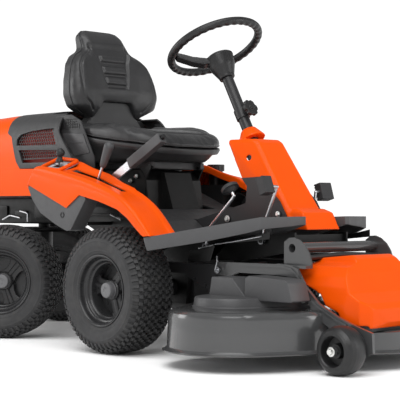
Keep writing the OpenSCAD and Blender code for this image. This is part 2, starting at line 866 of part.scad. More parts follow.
// ---------- hand levers ----------
lift_pivot = [-179, -272, 532];
lift_rise = 28;
module on_lift(t) {
    translate(lift_pivot)
        rotate([0, 90 - lift_rise, 0])
            translate([0, 0, t])
                children();
}

module lift_lever() {
    at_axle() color(steel) difference() {
        union() {
            on_lift(0) translate([-14, -4, 0]) cube([28, 8, 200]);
            translate(lift_pivot) rotate([90, 0, 0]) cylinder(h = 10, r = 18, center = true);
        }
        translate(lift_pivot) rotate([90, 0, 0]) cylinder(h = 20, r = 6 + run_gap, center = true);
    }
}

module lift_grip() {
    at_axle() color(grey) difference() {
        on_lift(168) translate([-17, -13, 0]) cube([34, 26, 174]);
        on_lift(160) translate([-14, -4, 0]) cube([28, 8, 40]);
        on_lift(312) cylinder(h = 40, r = 8 + run_gap);
    }
}

module lift_button() {
    at_axle() color(black) on_lift(322) {
        cylinder(h = 24, r = 8);
        for (i = [0 : 2]) translate([0, 0, 24 + 2.5 * i]) cylinder(h = 1.5, r = 7);
        translate([0, 0, 24]) cylinder(h = 6, r = 5.5);
    }
}

high_pivot = [-175, -350, 415];
high_lean = 26.7;
module on_high(t) {
    translate(high_pivot)
        rotate([0, high_lean, 0])
            translate([0, 0, t])
                children();
}

module height_lever() {
    at_axle() color(steel) difference() {
        union() {
            on_high(0) cylinder(h = 232, r = 4.5);
            translate(high_pivot) rotate([90, 0, 0]) cylinder(h = 10, r = 11, center = true);
        }
        translate(high_pivot) rotate([90, 0, 0]) cylinder(h = 20, r = 6 + run_gap, center = true);
    }
}

module height_knob() {
    at_axle() color(grey) difference() {
        union() {
            on_high(208) cylinder(h = 12, r1 = 9, r2 = 12);
            on_high(220) cylinder(h = 62, r1 = 12, r2 = 16.5);
            on_high(282) sphere(16.5);
        }
        on_high(200) cylinder(h = 32, r = 4.5);
    }
}

// ---------- lift frame ----------
module lift_arms() {
    at_axle() color(dark) difference() {
        union() {
            both() slab(185, 213) polygon([[44, 262], [44, 288], [52, 292], [350, 290],
                [350, 258], [66, 258]]);
            // hanger plates for the back of the deck
            both() slab(209, 213) polygon([[172, 260], [312, 260], [304, 212], [284, 206],
                [182, 246]]);
            both() translate([262, 213, 222]) rotate([-90, 0, 0]) cylinder(h = 5, r = 7, $fn = 6);
            both() translate([212, 213, 240]) rotate([-90, 0, 0]) cylinder(h = 5, r = 7, $fn = 6);
            translate([150, 0, 272]) rotate([90, 0, 0]) cylinder(h = 376, r = 12, center = true);
        }
        translate([60, 0, 274]) rotate([90, 0, 0]) cylinder(h = 500, r = 8 + run_gap, center = true);
        both() translate([338, 150, 275]) rotate([-90, 0, 0]) cylinder(h = 90, r = 6 + run_gap);
        both() slab(189, 209) polygon([[90, 250], [330, 250], [330, 262], [90, 262]]);
    }
}

arm_line = [[324, 262], [330, 300], [613, 301], [640, 298], [661, 290], [692, 240], [745, 192],
    [816, 158], [861, 142], [939, 120], [942, 64], [926, 58], [874, 48], [850, 52], [835, 76],
    [836, 104], [789, 122], [754, 142], [725, 165], [697, 202], [655, 228], [641, 250],
    [622, 266], [590, 268], [420, 270], [380, 256]];
module deck_arms() {
    at_axle() color(grey) difference() {
        union() {
            both() slab(arm_in, arm_out) polygon(arm_line);
            // stiffening rib along the top edge
            both() slab(arm_out, arm_out + 4) strip([[440, 294], [610, 294], [640, 288],
                [656, 276], [684, 230], [738, 186], [806, 152], [850, 136]], 6);
            both() slab(190, 196) polygon([[580, 298], [580, 366], [600, 379], [618, 380],
                [640, 373], [662, 356], [678, 334], [688, 306], [688, 298]]);
            both() block([580, 190, 290], [688, 220.5, 298]);
            block([572, -220.5, 284], [588, 220.5, 302]);
            block([906, 214, 62], [936, 220.5, 116]);
            block([906, -220.5, 62], [936, -214, 116]);
            both() translate([690, arm_out, 204]) rotate([-90, 0, 0]) cylinder(h = 5, r = 9);
            translate([612, 0, 348]) rotate([90, 0, 0]) cylinder(h = 382, r = 16.5, center = true);
            both() translate([338, 213, 275]) rotate([-90, 0, 0]) cylinder(h = 8, r = 13);
            // axle bolts of the support wheels
            both() translate([866, arm_in - 8, 70]) rotate([-90, 0, 0]) {
                cylinder(h = 10, r = 12, $fn = 6);
                cylinder(h = 96, r = 8);
                translate([0, 0, 91]) cylinder(h = 7, r = 14);
            }
        }
        both() translate([338, 150, 275]) rotate([-90, 0, 0]) cylinder(h = 90, r = 6 + run_gap);
        translate([612, 0, 348]) rotate([90, 0, 0]) cylinder(h = 500, r = 13, center = true);
    }
}

module latch_pin(s) {
    at_axle() color(steel) scale([1, s, 1]) {
        translate([338, 188, 275]) rotate([-90, 0, 0]) cylinder(h = 56, r = 6);
        translate([338, 236, 275]) rotate([-90, 0, 0]) cylinder(h = 4, r = 10);
        bent_rod([[338, 242, 272], [342, 250, 276], [352, 250, 304], [346, 246, 318]], 2.5);
    }
}
module right_latch_pin() latch_pin(-1);
module left_latch_pin() latch_pin(1);

module support_wheel(s) {
    at_axle() color(black) translate([866, s * 275, 70]) rotate([-90 * s, 0, 0])
        rotate_extrude($fn = 96)
            polygon([[8 + run_gap, -40], [50, -41], [60, -37], [66, -28], [69, -16], [70, -4],
                [70, 6], [69, 16], [65, 28], [58, 37], [52, 41], [45, 42], [42, 38], [39, 10],
                [22, 8], [20, 26], [8 + run_gap, 27]]);
}
module right_support_wheel() support_wheel(-1);
module left_support_wheel() support_wheel(1);

// ---------- cutting deck ----------
module deck_solid(d) {
    both() translate([side_x, side_y, 0]) {
        translate([0, 0, deck_z - (d > 0 ? 5 : 0)])
            cylinder(h = 116 - d + (d > 0 ? 5 : 0), r = lobe_r - d, $fn = 120);
        translate([0, 0, deck_z + 116 - d])
            cylinder(h = 12, r1 = lobe_r - d, r2 = lobe_r - 13 - d, $fn = 120);
    }
    translate([mid_x, 0, 0]) {
        translate([0, 0, deck_z - (d > 0 ? 5 : 0)])
            cylinder(h = 55 - d + (d > 0 ? 5 : 0), r = mid_r - d, $fn = 120);
        translate([0, 0, deck_z + 55 - d])
            cylinder(h = 8, r1 = mid_r - d, r2 = mid_r - 9 - d, $fn = 120);
    }
    plan(deck_z - (d > 0 ? 5 : 0), deck_z + 63 - d)
        polygon([[340 + d, -200], [340 + d, 200], [640, 200], [640, -200]]);
}

module deck_shell() {
    at_axle() color(grey) difference() {
        union() {
            deck_solid(0);
            plan(deck_z, deck_z + 4) {
                both() translate([side_x, side_y]) circle(r = lobe_r + 14, $fn = 120);
                translate([mid_x, 0]) circle(r = mid_r + 14, $fn = 120);
            }
            // spindle housings
            both() translate([side_x, side_y, 120]) cylinder(h = 64, r = 32);
            translate([mid_x, 0, 100]) cylinder(h = 50, r = 32);
        }
        difference() {
            deck_solid(3.2);
            both() translate([side_x, side_y, 130]) cylinder(h = 64, r = 32);
            translate([mid_x, 0, 96]) cylinder(h = 64, r = 32);
        }
        both() translate([side_x, side_y, 0]) cylinder(h = 300, r = 12 + run_gap);
        translate([mid_x, 0, 0]) cylinder(h = 300, r = 12 + run_gap);
    }
}

module belt_cover() {
    difference() {
        union() {
            translate([side_x, side_y, 178.5]) {
                cylinder(h = 46, r = 135, $fn = 96);
                translate([0, 0, 46]) cylinder(h = 7, r1 = 135, r2 = 126, $fn = 96);
            }
            translate([446, 318, 230]) cylinder(h = 42, r1 = 64, r2 = 44);
            translate([446, 318, 272]) cylinder(h = 3, r1 = 44, r2 = 38);
            slab(212, 262) polygon([[440, 178.5], [452, 240], [600, 240], [634, 196], [634, 178.5]]);
        }
        translate([side_x, side_y, 170]) cylinder(h = 58, r = 131.5, $fn = 96);
        translate([446, 318, 226]) cylinder(h = 44, r1 = 62, r2 = 40);
        slab(215.5, 258.5) polygon([[444, 170], [455, 236.5], [598, 236.5], [630, 194],
            [630, 170]]);
    }
}

module belt_covers() at_axle() color(grey) both() belt_cover();

module cover_solid(d) {
    intersection() {
        slab(-196, 196) polygon([[600 + d, 262], [600 + d, 286 - d], [642 + d * 0.4, 318 - d],
            [757 - d * 0.5, 329 - d], [776 - d * 0.8, 318 - d], [800 - d, 280 - d],
            [826 - d, 224], [868 - d, 194], [880 - d, 178], [884 - d, 140], [876 - d, 122],
            [800, 122], [788, 165], [740, 182], [716, 216], [660, 240]]);
        front(500, 1000) polygon([[-195 + d, 100], [-195 + d, 190], [-188 + d, 240],
            [-176 + d, 270], [-150 + d, 296 - d], [-104, 306 - d], [-92, 329 - d],
            [92, 329 - d], [104, 306 - d], [150 - d, 296 - d], [176 - d, 270], [188 - d, 240],
            [195 - d, 190], [195 - d, 100]]);
        plan(0, 500) polygon([[590, -180 + d], [640, -195 + d], [810, -195 + d],
            [856 - d, -182 + d], [878 - d, -150 + d], [884 - d, -90], [884 - d, 90],
            [878 - d, 150 - d], [856 - d, 182 - d], [810, 195 - d], [640, 195 - d],
            [590, 180 - d]]);
    }
}

module deck_cover() {
    at_axle() color(orange) difference() {
        cover_solid(0);
        difference() {
            cover_solid(5);
            block([820, -200, 118], [826, 200, 135]);
        }
        block([795, -188, 100], [872, 188, 130]);
    }
}

module blade_set(x, y) {
    translate([x, y, 0]) {
        difference() {
            union() {
                translate([-blade_r, -22, 78]) cube([2 * blade_r, 44, 4]);
                for (a = [0, 180])
                    rotate(a)
                        translate([blade_r - 62, 10, 78])
                            rotate([28, 0, 0])
                                cube([54, 16, 4]);
            }
            cylinder(h = 200, r = 11);
        }
    }
}

module blade_shaft(x, y, top) {
    translate([x, y, 0]) {
        translate([0, 0, 66]) cylinder(h = 11.5, r = 16, $fn = 6);
        translate([0, 0, 70]) cylinder(h = 14, r = 12);
        translate([0, 0, 81]) cylinder(h = 8, r = 26);
        translate([0, 0, 82]) cylinder(h = top - 80, r = 12);
        translate([0, 0, top]) rotate_extrude()
            polygon([[0, 0], [44, 0], [38, 6], [38, 10], [44, 16], [0, 16]]);
    }
}

module right_blade() at_axle() color(steel) {
    blade_set(side_x, -side_y);
    blade_shaft(side_x, -side_y, 188);
}
module middle_blade() at_axle() color(steel) {
    blade_set(mid_x, 0);
    blade_shaft(mid_x, 0, 188);
}
module left_blade() at_axle() color(steel) {
    blade_set(side_x, side_y);
    blade_shaft(side_x, side_y, 188);
}

module brake_cable() {
    at_axle() color(steel) slab(126.05, 130) strip([[372, 333], [362, 328], [150, 322],
        [70, 311], [0, 330], [-56, 351]], 4);
}

main_frame();
front_axle();
rear_axle();
front_left_tyre();
front_left_rim();
front_right_tyre();
front_right_rim();
rear_left_tyre();
rear_left_rim();
rear_right_tyre();
rear_right_rim();
body_base();
right_fender();
left_fender();
side_consoles();
control_panel();
throttle_lever();
ignition_key();
fuel_tank();
seat_support();
seat_shell();
seat_cushion();
seat_back();
intake_housing();
hood_shell();
hood_frame();
vent_mesh();
engine_block();
muffler();
tunnel();
cowl();
steering_column();
column_knob();
steering_hub();
steering_ring();
footboards();
forward_pedal();
forward_pad();
reverse_pedal();
reverse_pad();
brake_pedal();
brake_pad();
lift_lever();
lift_grip();
lift_button();
height_lever();
height_knob();
lift_arms();
deck_arms();
right_latch_pin();
left_latch_pin();
right_support_wheel();
left_support_wheel();
deck_shell();
belt_covers();
deck_cover();
right_blade();
middle_blade();
left_blade();
brake_cable();
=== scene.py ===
"""Articulated riding lawn mower: the visual model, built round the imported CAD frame."""
import json
import math

import bmesh
import bpy
from mathutils import Matrix, Vector
from mathutils.bvhtree import BVHTree
from mathutils.kdtree import KDTree

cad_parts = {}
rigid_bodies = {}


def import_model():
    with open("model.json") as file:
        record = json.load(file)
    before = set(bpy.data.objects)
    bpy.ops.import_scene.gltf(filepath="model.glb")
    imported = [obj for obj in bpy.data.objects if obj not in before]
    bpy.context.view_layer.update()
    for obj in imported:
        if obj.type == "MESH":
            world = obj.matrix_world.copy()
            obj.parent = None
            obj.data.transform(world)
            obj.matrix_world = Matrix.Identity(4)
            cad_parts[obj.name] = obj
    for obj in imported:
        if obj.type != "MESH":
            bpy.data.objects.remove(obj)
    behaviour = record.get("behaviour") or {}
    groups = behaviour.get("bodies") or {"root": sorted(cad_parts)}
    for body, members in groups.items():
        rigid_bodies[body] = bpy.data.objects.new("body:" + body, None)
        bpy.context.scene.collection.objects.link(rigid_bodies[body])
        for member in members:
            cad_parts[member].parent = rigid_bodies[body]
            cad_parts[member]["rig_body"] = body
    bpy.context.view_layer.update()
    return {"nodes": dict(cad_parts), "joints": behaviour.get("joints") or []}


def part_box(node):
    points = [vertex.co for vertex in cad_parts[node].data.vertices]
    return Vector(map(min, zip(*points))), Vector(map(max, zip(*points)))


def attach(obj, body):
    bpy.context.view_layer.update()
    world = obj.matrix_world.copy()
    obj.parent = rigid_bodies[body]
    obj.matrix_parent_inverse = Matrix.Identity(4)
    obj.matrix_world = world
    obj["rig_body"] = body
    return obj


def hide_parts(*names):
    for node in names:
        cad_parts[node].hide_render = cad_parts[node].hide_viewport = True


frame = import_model()
NODES = frame["nodes"]
JOINTS = {joint["name"]: joint for joint in frame["joints"]}

MM = 0.001
_lo, _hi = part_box("front_right_tyre")
AXLE = (_lo.x + _hi.x) / 2
TYRE_R = (_hi.z - _lo.z) / 2 / MM


FLAT = Matrix.Scale(MM, 4)


def P(x, y, z):
    """A point in millimetres from the middle of the front axle, on the ground."""
    return Vector((AXLE + x * MM, y * MM, z * MM))


# ---------------------------------------------------------------- materials
def finish(name, colour, rough, metallic=0.0, grain=0.1, grain_mm=0.9, mottle=0.06, waves=0.0,
           coat=0.0, gleam=0.4, scuff=0.08, stretch=(1, 1, 1), cells=False, dust=0.0):
    """A procedural finish: mottled colour, uneven gloss, a fine grain and slow waves in the surface."""
    material = bpy.data.materials.new(name)
    material.use_nodes = True
    tree = material.node_tree
    shader = tree.nodes["Principled BSDF"]
    link = tree.links.new

    def node(kind, **settings):
        made = tree.nodes.new(kind)
        for key, value in settings.items():
            if key in made.inputs:
                made.inputs[key].default_value = value
            else:
                setattr(made, key, value)
        return made

    place = node("ShaderNodeTexCoord")
    mapping = node("ShaderNodeMapping")
    mapping.inputs["Scale"].default_value = stretch
    link(place.outputs["Object"], mapping.inputs["Vector"])

    def noise(scale, detail=2.0):
        made = node("ShaderNodeTexNoise", Scale=scale, Detail=detail)
        link(mapping.outputs["Vector"], made.inputs["Vector"])
        return made.outputs["Fac"]

    def ranged(source, low, high, bottom, top):
        made = node("ShaderNodeMapRange", **{"From Min": low, "From Max": high, "To Min": bottom, "To Max": top})
        link(source, made.inputs["Value"])
        return made.outputs["Result"]

    def over(below, above, weight):
        mix = node("ShaderNodeMix", data_type="RGBA")
        mix.inputs[7].default_value = above
        link(weight, mix.inputs[0])
        link(below, mix.inputs[6])
        return mix.outputs[2]

    # colour
    ramp = node("ShaderNodeValToRGB")
    low, high = ramp.color_ramp.elements
    low.position, high.position = 0.3, 0.7
    low.color = [c * (1 - mottle) for c in colour] + [1]
    high.color = [min(1, c * (1 + mottle)) for c in colour] + [1]
    link(noise(11.0, 5.0), ramp.inputs["Fac"])
    shown = ramp.outputs["Color"]
    if dust > 0:
        shown = over(shown, (0.16, 0.15, 0.135, 1), ranged(noise(34.0, 8.0), 0.5, 0.75, 0.0, dust))
    link(shown, shader.inputs["Base Color"])

    # gloss
    link(ranged(noise(46.0, 6.0), 0.25, 0.75, rough - scuff, rough + scuff), shader.inputs["Roughness"])
    shader.inputs["Metallic"].default_value = metallic
    shader.inputs["Specular IOR Level"].default_value = gleam
    shader.inputs["Coat Weight"].default_value = coat
    shader.inputs["Coat Roughness"].default_value = 0.12

    # relief
    fine = node("ShaderNodeBump", Strength=grain, Distance=grain_mm * MM * 0.5)
    if cells:
        pebbles = node("ShaderNodeTexVoronoi", feature="DISTANCE_TO_EDGE", Scale=1 / (grain_mm * MM))
        link(mapping.outputs["Vector"], pebbles.inputs["Vector"])
        link(pebbles.outputs["Distance"], fine.inputs["Height"])
    else:
        link(noise(1 / (grain_mm * MM), 3.0), fine.inputs["Height"])
    relief = fine.outputs["Normal"]
    if waves > 0:
        slow = node("ShaderNodeBump", Strength=waves, Distance=0.02)
        link(noise(7.0, 1.0), slow.inputs["Height"])
        link(relief, slow.inputs["Normal"])
        relief = slow.outputs["Normal"]
    link(relief, shader.inputs["Normal"])
    return material


M = {name: finish(name, colour, rough, **settings) for name, colour, rough, settings in (
    ("orange_plastic", (0.74, 0.074, 0.001), 0.34, dict(grain=0.04, waves=0.02, mottle=0.03, coat=0.06,
                                                        gleam=0.09, scuff=0.04)),
    ("grey_plastic", (0.062, 0.062, 0.064), 0.55, dict(grain=0.35, grain_mm=0.7)),
    ("dark_plastic", (0.022, 0.022, 0.023), 0.5, dict(grain=0.3, grain_mm=0.7)),
    ("black_plastic", (0.012, 0.012, 0.0125), 0.42, dict(grain=0.25, grain_mm=0.6)),
    ("light_panel", (0.40, 0.41, 0.43), 0.4, dict(grain=0.2, grain_mm=0.5)),
    ("black_paint", (0.004, 0.004, 0.004), 0.42, dict(grain=0.15, grain_mm=2.5, mottle=0.2, gleam=0.3)),
    ("dark_paint", (0.018, 0.018, 0.019), 0.38, dict(grain=0.12, grain_mm=2.2, mottle=0.12)),
    ("deck_paint", (0.048, 0.0485, 0.0495), 0.22, dict(grain=0.04, grain_mm=2.2, waves=0.02, mottle=0.04,
                                                       coat=0.6, scuff=0.03)),
    ("tyre_rubber", (0.026, 0.026, 0.027), 0.66, dict(grain=0.5, mottle=0.2, dust=0.10)),
    ("pad_rubber", (0.02, 0.02, 0.021), 0.55, dict(grain=0.4, grain_mm=0.8)),
    ("rim_paint", (0.020, 0.020, 0.021), 0.3, dict(grain=0.08, grain_mm=2.0, mottle=0.15)),
    ("bare_steel", (0.55, 0.56, 0.58), 0.3, dict(metallic=1.0, grain=0.12, grain_mm=1.2, stretch=(1, 1, 0.06),
                                                 mottle=0.1)),
    ("seat_vinyl", (0.024, 0.024, 0.025), 0.36, dict(grain=0.35, grain_mm=1.7, mottle=0.12, cells=True, scuff=0.07)),
    ("cast_alloy", (0.30, 0.30, 0.31), 0.5, dict(metallic=0.8, grain=0.5, grain_mm=1.6)))}
CAP_GREY = finish("hub_cap_grey", (0.13, 0.13, 0.135), 0.5, grain=0.2)
FRAME_GREY = finish("hood_frame_grey", (0.034, 0.034, 0.035), 0.5, grain=0.3, grain_mm=0.7)
PAN_GREY = finish("seat_pan_grey", (0.030, 0.030, 0.031), 0.42, grain=0.3, grain_mm=0.8)
COVER_GREY = finish("belt_cover_grey", (0.05, 0.05, 0.052), 0.45, grain=0.25, grain_mm=0.7)
ZINC = finish("zinc_plate", (0.72, 0.72, 0.70), 0.3, metallic=1.0, grain=0.1, grain_mm=1.0, mottle=0.15)
# painted shade: the hood orange made darker, for the liner inside the vents
SHADED_ORANGE = finish("shaded_inner_orange", (0.20, 0.008, 0.002), 0.6, grain=0.1, mottle=0.25)


# ---------------------------------------------------------------- builders
def dress_piece(obj, body, slot, stands_for=(), material=None):
    """Gives the piece the finish that the slot picks, puts it on the CAD body that it rides on, and hides the nodes
    that it stands for.
    """
    obj.data.materials.clear()
    obj.data.materials.append(material or M[slot])
    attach(obj, body)
    if stands_for:
        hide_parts(*stands_for)
    return obj


def shown(name, mesh):
    """A new object in the scene, at the origin."""
    obj = bpy.data.objects.new(name, mesh)
    bpy.context.scene.collection.objects.link(obj)
    return obj


def shaded(mesh, angle):
    """Smooth shading that keeps the edges sharper than the angle."""
    mesh.shade_smooth()
    mesh.set_sharp_from_angle(angle=math.radians(angle))


def make_object(name, verts, faces, angle=35):
    """An object from points and faces, with doubles merged and normals turned out."""
    mesh = bpy.data.meshes.new(name)
    mesh.from_pydata([tuple(v) for v in verts], [], faces)
    clean = bmesh.new()
    clean.from_mesh(mesh)
    bmesh.ops.remove_doubles(clean, verts=clean.verts, dist=1e-6)
    bmesh.ops.recalc_face_normals(clean, faces=clean.faces)
    clean.to_mesh(mesh)
    clean.free()
    shaded(mesh, angle)
    return shown(name, mesh)


def modify(obj, kind, **settings):
    """Adds a modifier with those settings."""
    modifier = obj.modifiers.new(kind.lower(), kind)
    for key, value in settings.items():
        setattr(modifier, key, value)
    return modifier


def add_bevel(obj, width_mm, segments=2, angle=30):
    modify(obj, "BEVEL", width=width_mm * MM, segments=segments, limit_method="ANGLE",
           angle_limit=math.radians(angle))
    return obj


def add_shell(obj, thickness_mm):
    modify(obj, "SOLIDIFY", thickness=thickness_mm * MM, offset=-1.0, use_quality_normals=True)
    return obj


def applied(obj):
    """Bakes the modifiers into the mesh."""
    bpy.context.view_layer.update()
    graph = bpy.context.evaluated_depsgraph_get()
    mesh = bpy.data.meshes.new_from_object(obj.evaluated_get(graph))
    obj.modifiers.clear()
    obj.data = mesh
    return obj


def remeshed(obj, voxel_mm, rounds):
    """An even mesh over the shape, its edges eased by rounds of smoothing."""
    modify(obj, "REMESH", mode="VOXEL", voxel_size=voxel_mm * MM)
    modify(obj, "SMOOTH", factor=0.5, iterations=rounds)
    return applied(obj)


def combined(obj, operation, *tools):
    """Unites, intersects or cuts the object with the tools, and deletes the tools."""
    for tool in tools:
        modify(obj, "BOOLEAN", operation=operation, solver="EXACT", object=tool)
        applied(obj)
        bpy.data.objects.remove(tool)
    return obj


def cut(obj, *tools):
    return combined(obj, "DIFFERENCE", *tools)


def rounded(points, radius=8.0, steps=5):
    """A closed outline with rounded corners. A third number on a point is its own radius."""
    out = []
    count = len(points)
    for i, point in enumerate(points):
        before, here, after = (Vector(points[(i + k) % count][:2]) for k in (-1, 0, 1))
        r = point[2] if len(point) > 2 else radius
        u, v = before - here, after - here
        half = u.angle(v) / 2
        reach = min(min(u.length, v.length) * 0.46, r / max(math.tan(half), 0.05))
        if r < 0.3 or reach < 0.3:
            out.append(tuple(here))
            continue
        out += [tuple(p) for p in corner(before, here, after, reach, steps)]
    return out


def smooth_line(points, per=6):
    """A smooth open line through the points, of any dimension."""
    pts = [Vector(p) for p in points]
    ends = [pts[0] * 2 - pts[1]] + pts + [pts[-1] * 2 - pts[-2]]
    out = []
    for i in range(1, len(ends) - 2):
        a, b, c, d = ends[i - 1:i + 3]
        for k in range(per):
            t = k / per
            out.append(0.5 * ((2 * b) + (c - a) * t + (2 * a - 5 * b + 4 * c - d) * t ** 2
                              + (3 * b - a - 3 * c + d) * t ** 3))
    return out + [pts[-1]]


def resample(line, count):
    """The open line as that many points, evenly spaced."""
    lengths = [0.0]
    for a, b in zip(line, line[1:]):
        lengths.append(lengths[-1] + (Vector(b) - Vector(a)).length)
    out, j = [], 0
    for k in range(count):
        want = lengths[-1] * k / (count - 1)
        while j < len(line) - 2 and lengths[j + 1] < want:
            j += 1
        span = lengths[j + 1] - lengths[j]
        t = 0 if span == 0 else min(1, (want - lengths[j]) / span)
        out.append(Vector(line[j]).lerp(Vector(line[j + 1]), t))
    return out


def grid_faces(rows, columns, wrap_rows=False, wrap_columns=False):
    """The quads of a grid of points, numbered row by row."""
    faces = []
    for i in range(rows if wrap_rows else rows - 1):
        for j in range(columns if wrap_columns else columns - 1):
            a, b = i * columns + j, i * columns + (j + 1) % columns
            c, d = ((i + 1) % rows) * columns + (j + 1) % columns, ((i + 1) % rows) * columns + j
            faces.append((a, b, c, d))
    return faces


def sheet(name, rows, angle=35, wrap_columns=False, wrap_rows=False, caps=False):
    """A surface through rows of points."""
    columns = len(rows[0])
    faces = grid_faces(len(rows), columns, wrap_rows, wrap_columns)
    if caps:
        faces += [tuple(range(columns)), tuple((len(rows) - 1) * columns + j for j in range(columns))]
    return make_object(name, [v for row in rows for v in row], faces, angle)


def oblong(x0, x1, y0, y1):
    return [(x0, y0), (x1, y0), (x1, y1), (x0, y1)]


def slab(name, outline, y0, y1, plane="xz"):
    """A closed outline drawn in X and Z (or X and Y, or Y and Z), made solid between two places."""
    spots = {"xz": lambda a, b, c: P(a, c, b), "xy": lambda a, b, c: P(a, b, c), "yz": lambda a, b, c: P(c, a, b)}
    rows = [[spots[plane](a, b, c) for a, b in outline] for c in (y0, y1)]
    return sheet(name, rows, wrap_columns=True, caps=True)


def corner(a, b, c, reach, steps):
    """The points of a rounded corner at b, between a and c."""
    p, q = b + (a - b).normalized() * reach, b + (c - b).normalized() * reach
    return [p * (1 - t) ** 2 + b * 2 * t * (1 - t) + q * t * t for t in (k / steps for k in range(steps + 1))]


def tube(name, points, radius, sides=14, bend=0.0):
    """A round bar along the points, in metres; bend rounds its corners by that many millimetres."""
    path = [Vector(p) for p in points]
    if bend:
        eased = [path[0]]
        for a, b, c in zip(path, path[1:], path[2:]):
            eased += corner(a, b, c, min(bend * MM, (a - b).length * 0.45, (c - b).length * 0.45), 6)
        path = eased + [path[-1]]
    side = None
    rows = []
    for i, here in enumerate(path):
        ahead = (path[min(i + 1, len(path) - 1)] - path[max(i - 1, 0)]).normalized()
        if side is None:
            side = ahead.orthogonal().normalized()
        side = (side - ahead * side.dot(ahead)).normalized()
        other = ahead.cross(side)
        rows.append([here + (side * math.cos(t) + other * math.sin(t)) * radius * MM
                     for t in (2 * math.pi * k / sides for k in range(sides))])
    return sheet(name, rows, 40, wrap_columns=True, caps=True)


def upright(x, y):
    """Turns millimetres about a vertical axis into metres in the row frame."""
    return Matrix.Translation(P(x, y, 0)) @ FLAT


def axis_frame(origin, axis, across=None):
    """Turns millimetres along a local Z axis into metres in the row frame."""
    z = Vector(axis).normalized()
    x = Vector(across or z.orthogonal())
    x = (x - z * x.dot(z)).normalized()
    y = z.cross(x)
    turn = Matrix((x, y, z)).transposed().to_4x4()
    return Matrix.Translation(origin) @ turn @ Matrix.Scale(MM, 4)


def turned(name, profile, place, steps, closed=False):
    """A profile of (radius, height) turned about the local Z axis."""
    rows = []
    for k in range(steps):
        t = 2 * math.pi * k / steps
        rows.append([place @ Vector((r * math.cos(t), r * math.sin(t), h)) for r, h in profile])
    return sheet(name, rows, wrap_rows=True, wrap_columns=closed)


def joined(name, objects):
    """One object out of several, with their modifiers applied."""
    whole = bmesh.new()
    for obj in objects:
        applied(obj)
        part = obj.data.copy()
        part.transform(obj.matrix_world)
        whole.from_mesh(part)
    mesh = bpy.data.meshes.new(name)
    whole.to_mesh(mesh)
    whole.free()
    for obj in objects:
        bpy.data.objects.remove(obj)
    return shown(name, mesh)


def freed(obj):
    """The object's mesh, without the object."""
    mesh = obj.data
    bpy.data.objects.remove(obj)
    return mesh


def moulded(node, slot, voxel_mm, rounds, material=None):
    """The CAD shape with its edges rounded as a moulding has them."""
    obj = shown("moulded_" + node, NODES[node].data.copy())
    remeshed(obj, voxel_mm, rounds)
    obj.data.shade_smooth()
    return dress_piece(obj, NODES[node]["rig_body"], slot, (node,), material)


def machined(node, slot, width):
    """The CAD node itself, with small rounded edges and a finish."""
    modify(NODES[node], "DECIMATE", decimate_type="DISSOLVE", angle_limit=math.radians(0.6))
    add_bevel(NODES[node], width, angle=38)
    paint(node, slot)


def paint(node, slot):
    """The CAD node itself, with a finish."""
    obj = NODES[node]
    if not obj.material_slots:
        obj.data.materials.append(None)
    for spot in obj.material_slots:
        spot.material = M[slot]


def finished(obj, body, slot, nodes, angle, material=None):
    shaded(obj.data, angle)
    return dress_piece(obj, body, slot, nodes, material)


def hex_bolt(name, at, axis, across=13.0, body="chassis", height=6.0):
    """A hexagon bolt head on a washer."""
    place = axis_frame(at, axis)
    r = across / 2 / math.cos(math.pi / 6)
    head = turned(name + "_head", [(0, 2), (r, 2), (r, height - 1), (r * 0.86, height + 1), (0, height + 1)], place, 6)
    rim = across * 0.8
    washer = turned(name + "_washer", [(0, 0), (rim, 0), (rim, 1.6), (across * 0.74, 2), (0, 2)], place, 28)
    add_bevel(head, 0.5)
    return dress_piece(joined(name, [head, washer]), body, "bare_steel", material=ZINC)


# ---------------------------------------------------------------- wheels
OUTER = [(TYRE_R, 0), (TYRE_R - 0.5, 26), (TYRE_R - 2, 48), (TYRE_R - 5.5, 62), (TYRE_R - 11.5, 70),
         (TYRE_R - 21.5, 77), (TYRE_R - 33.5, 81), (156, 82.5), (142, 81.5), (128, 77), (117, 71.5), (111, 66)]


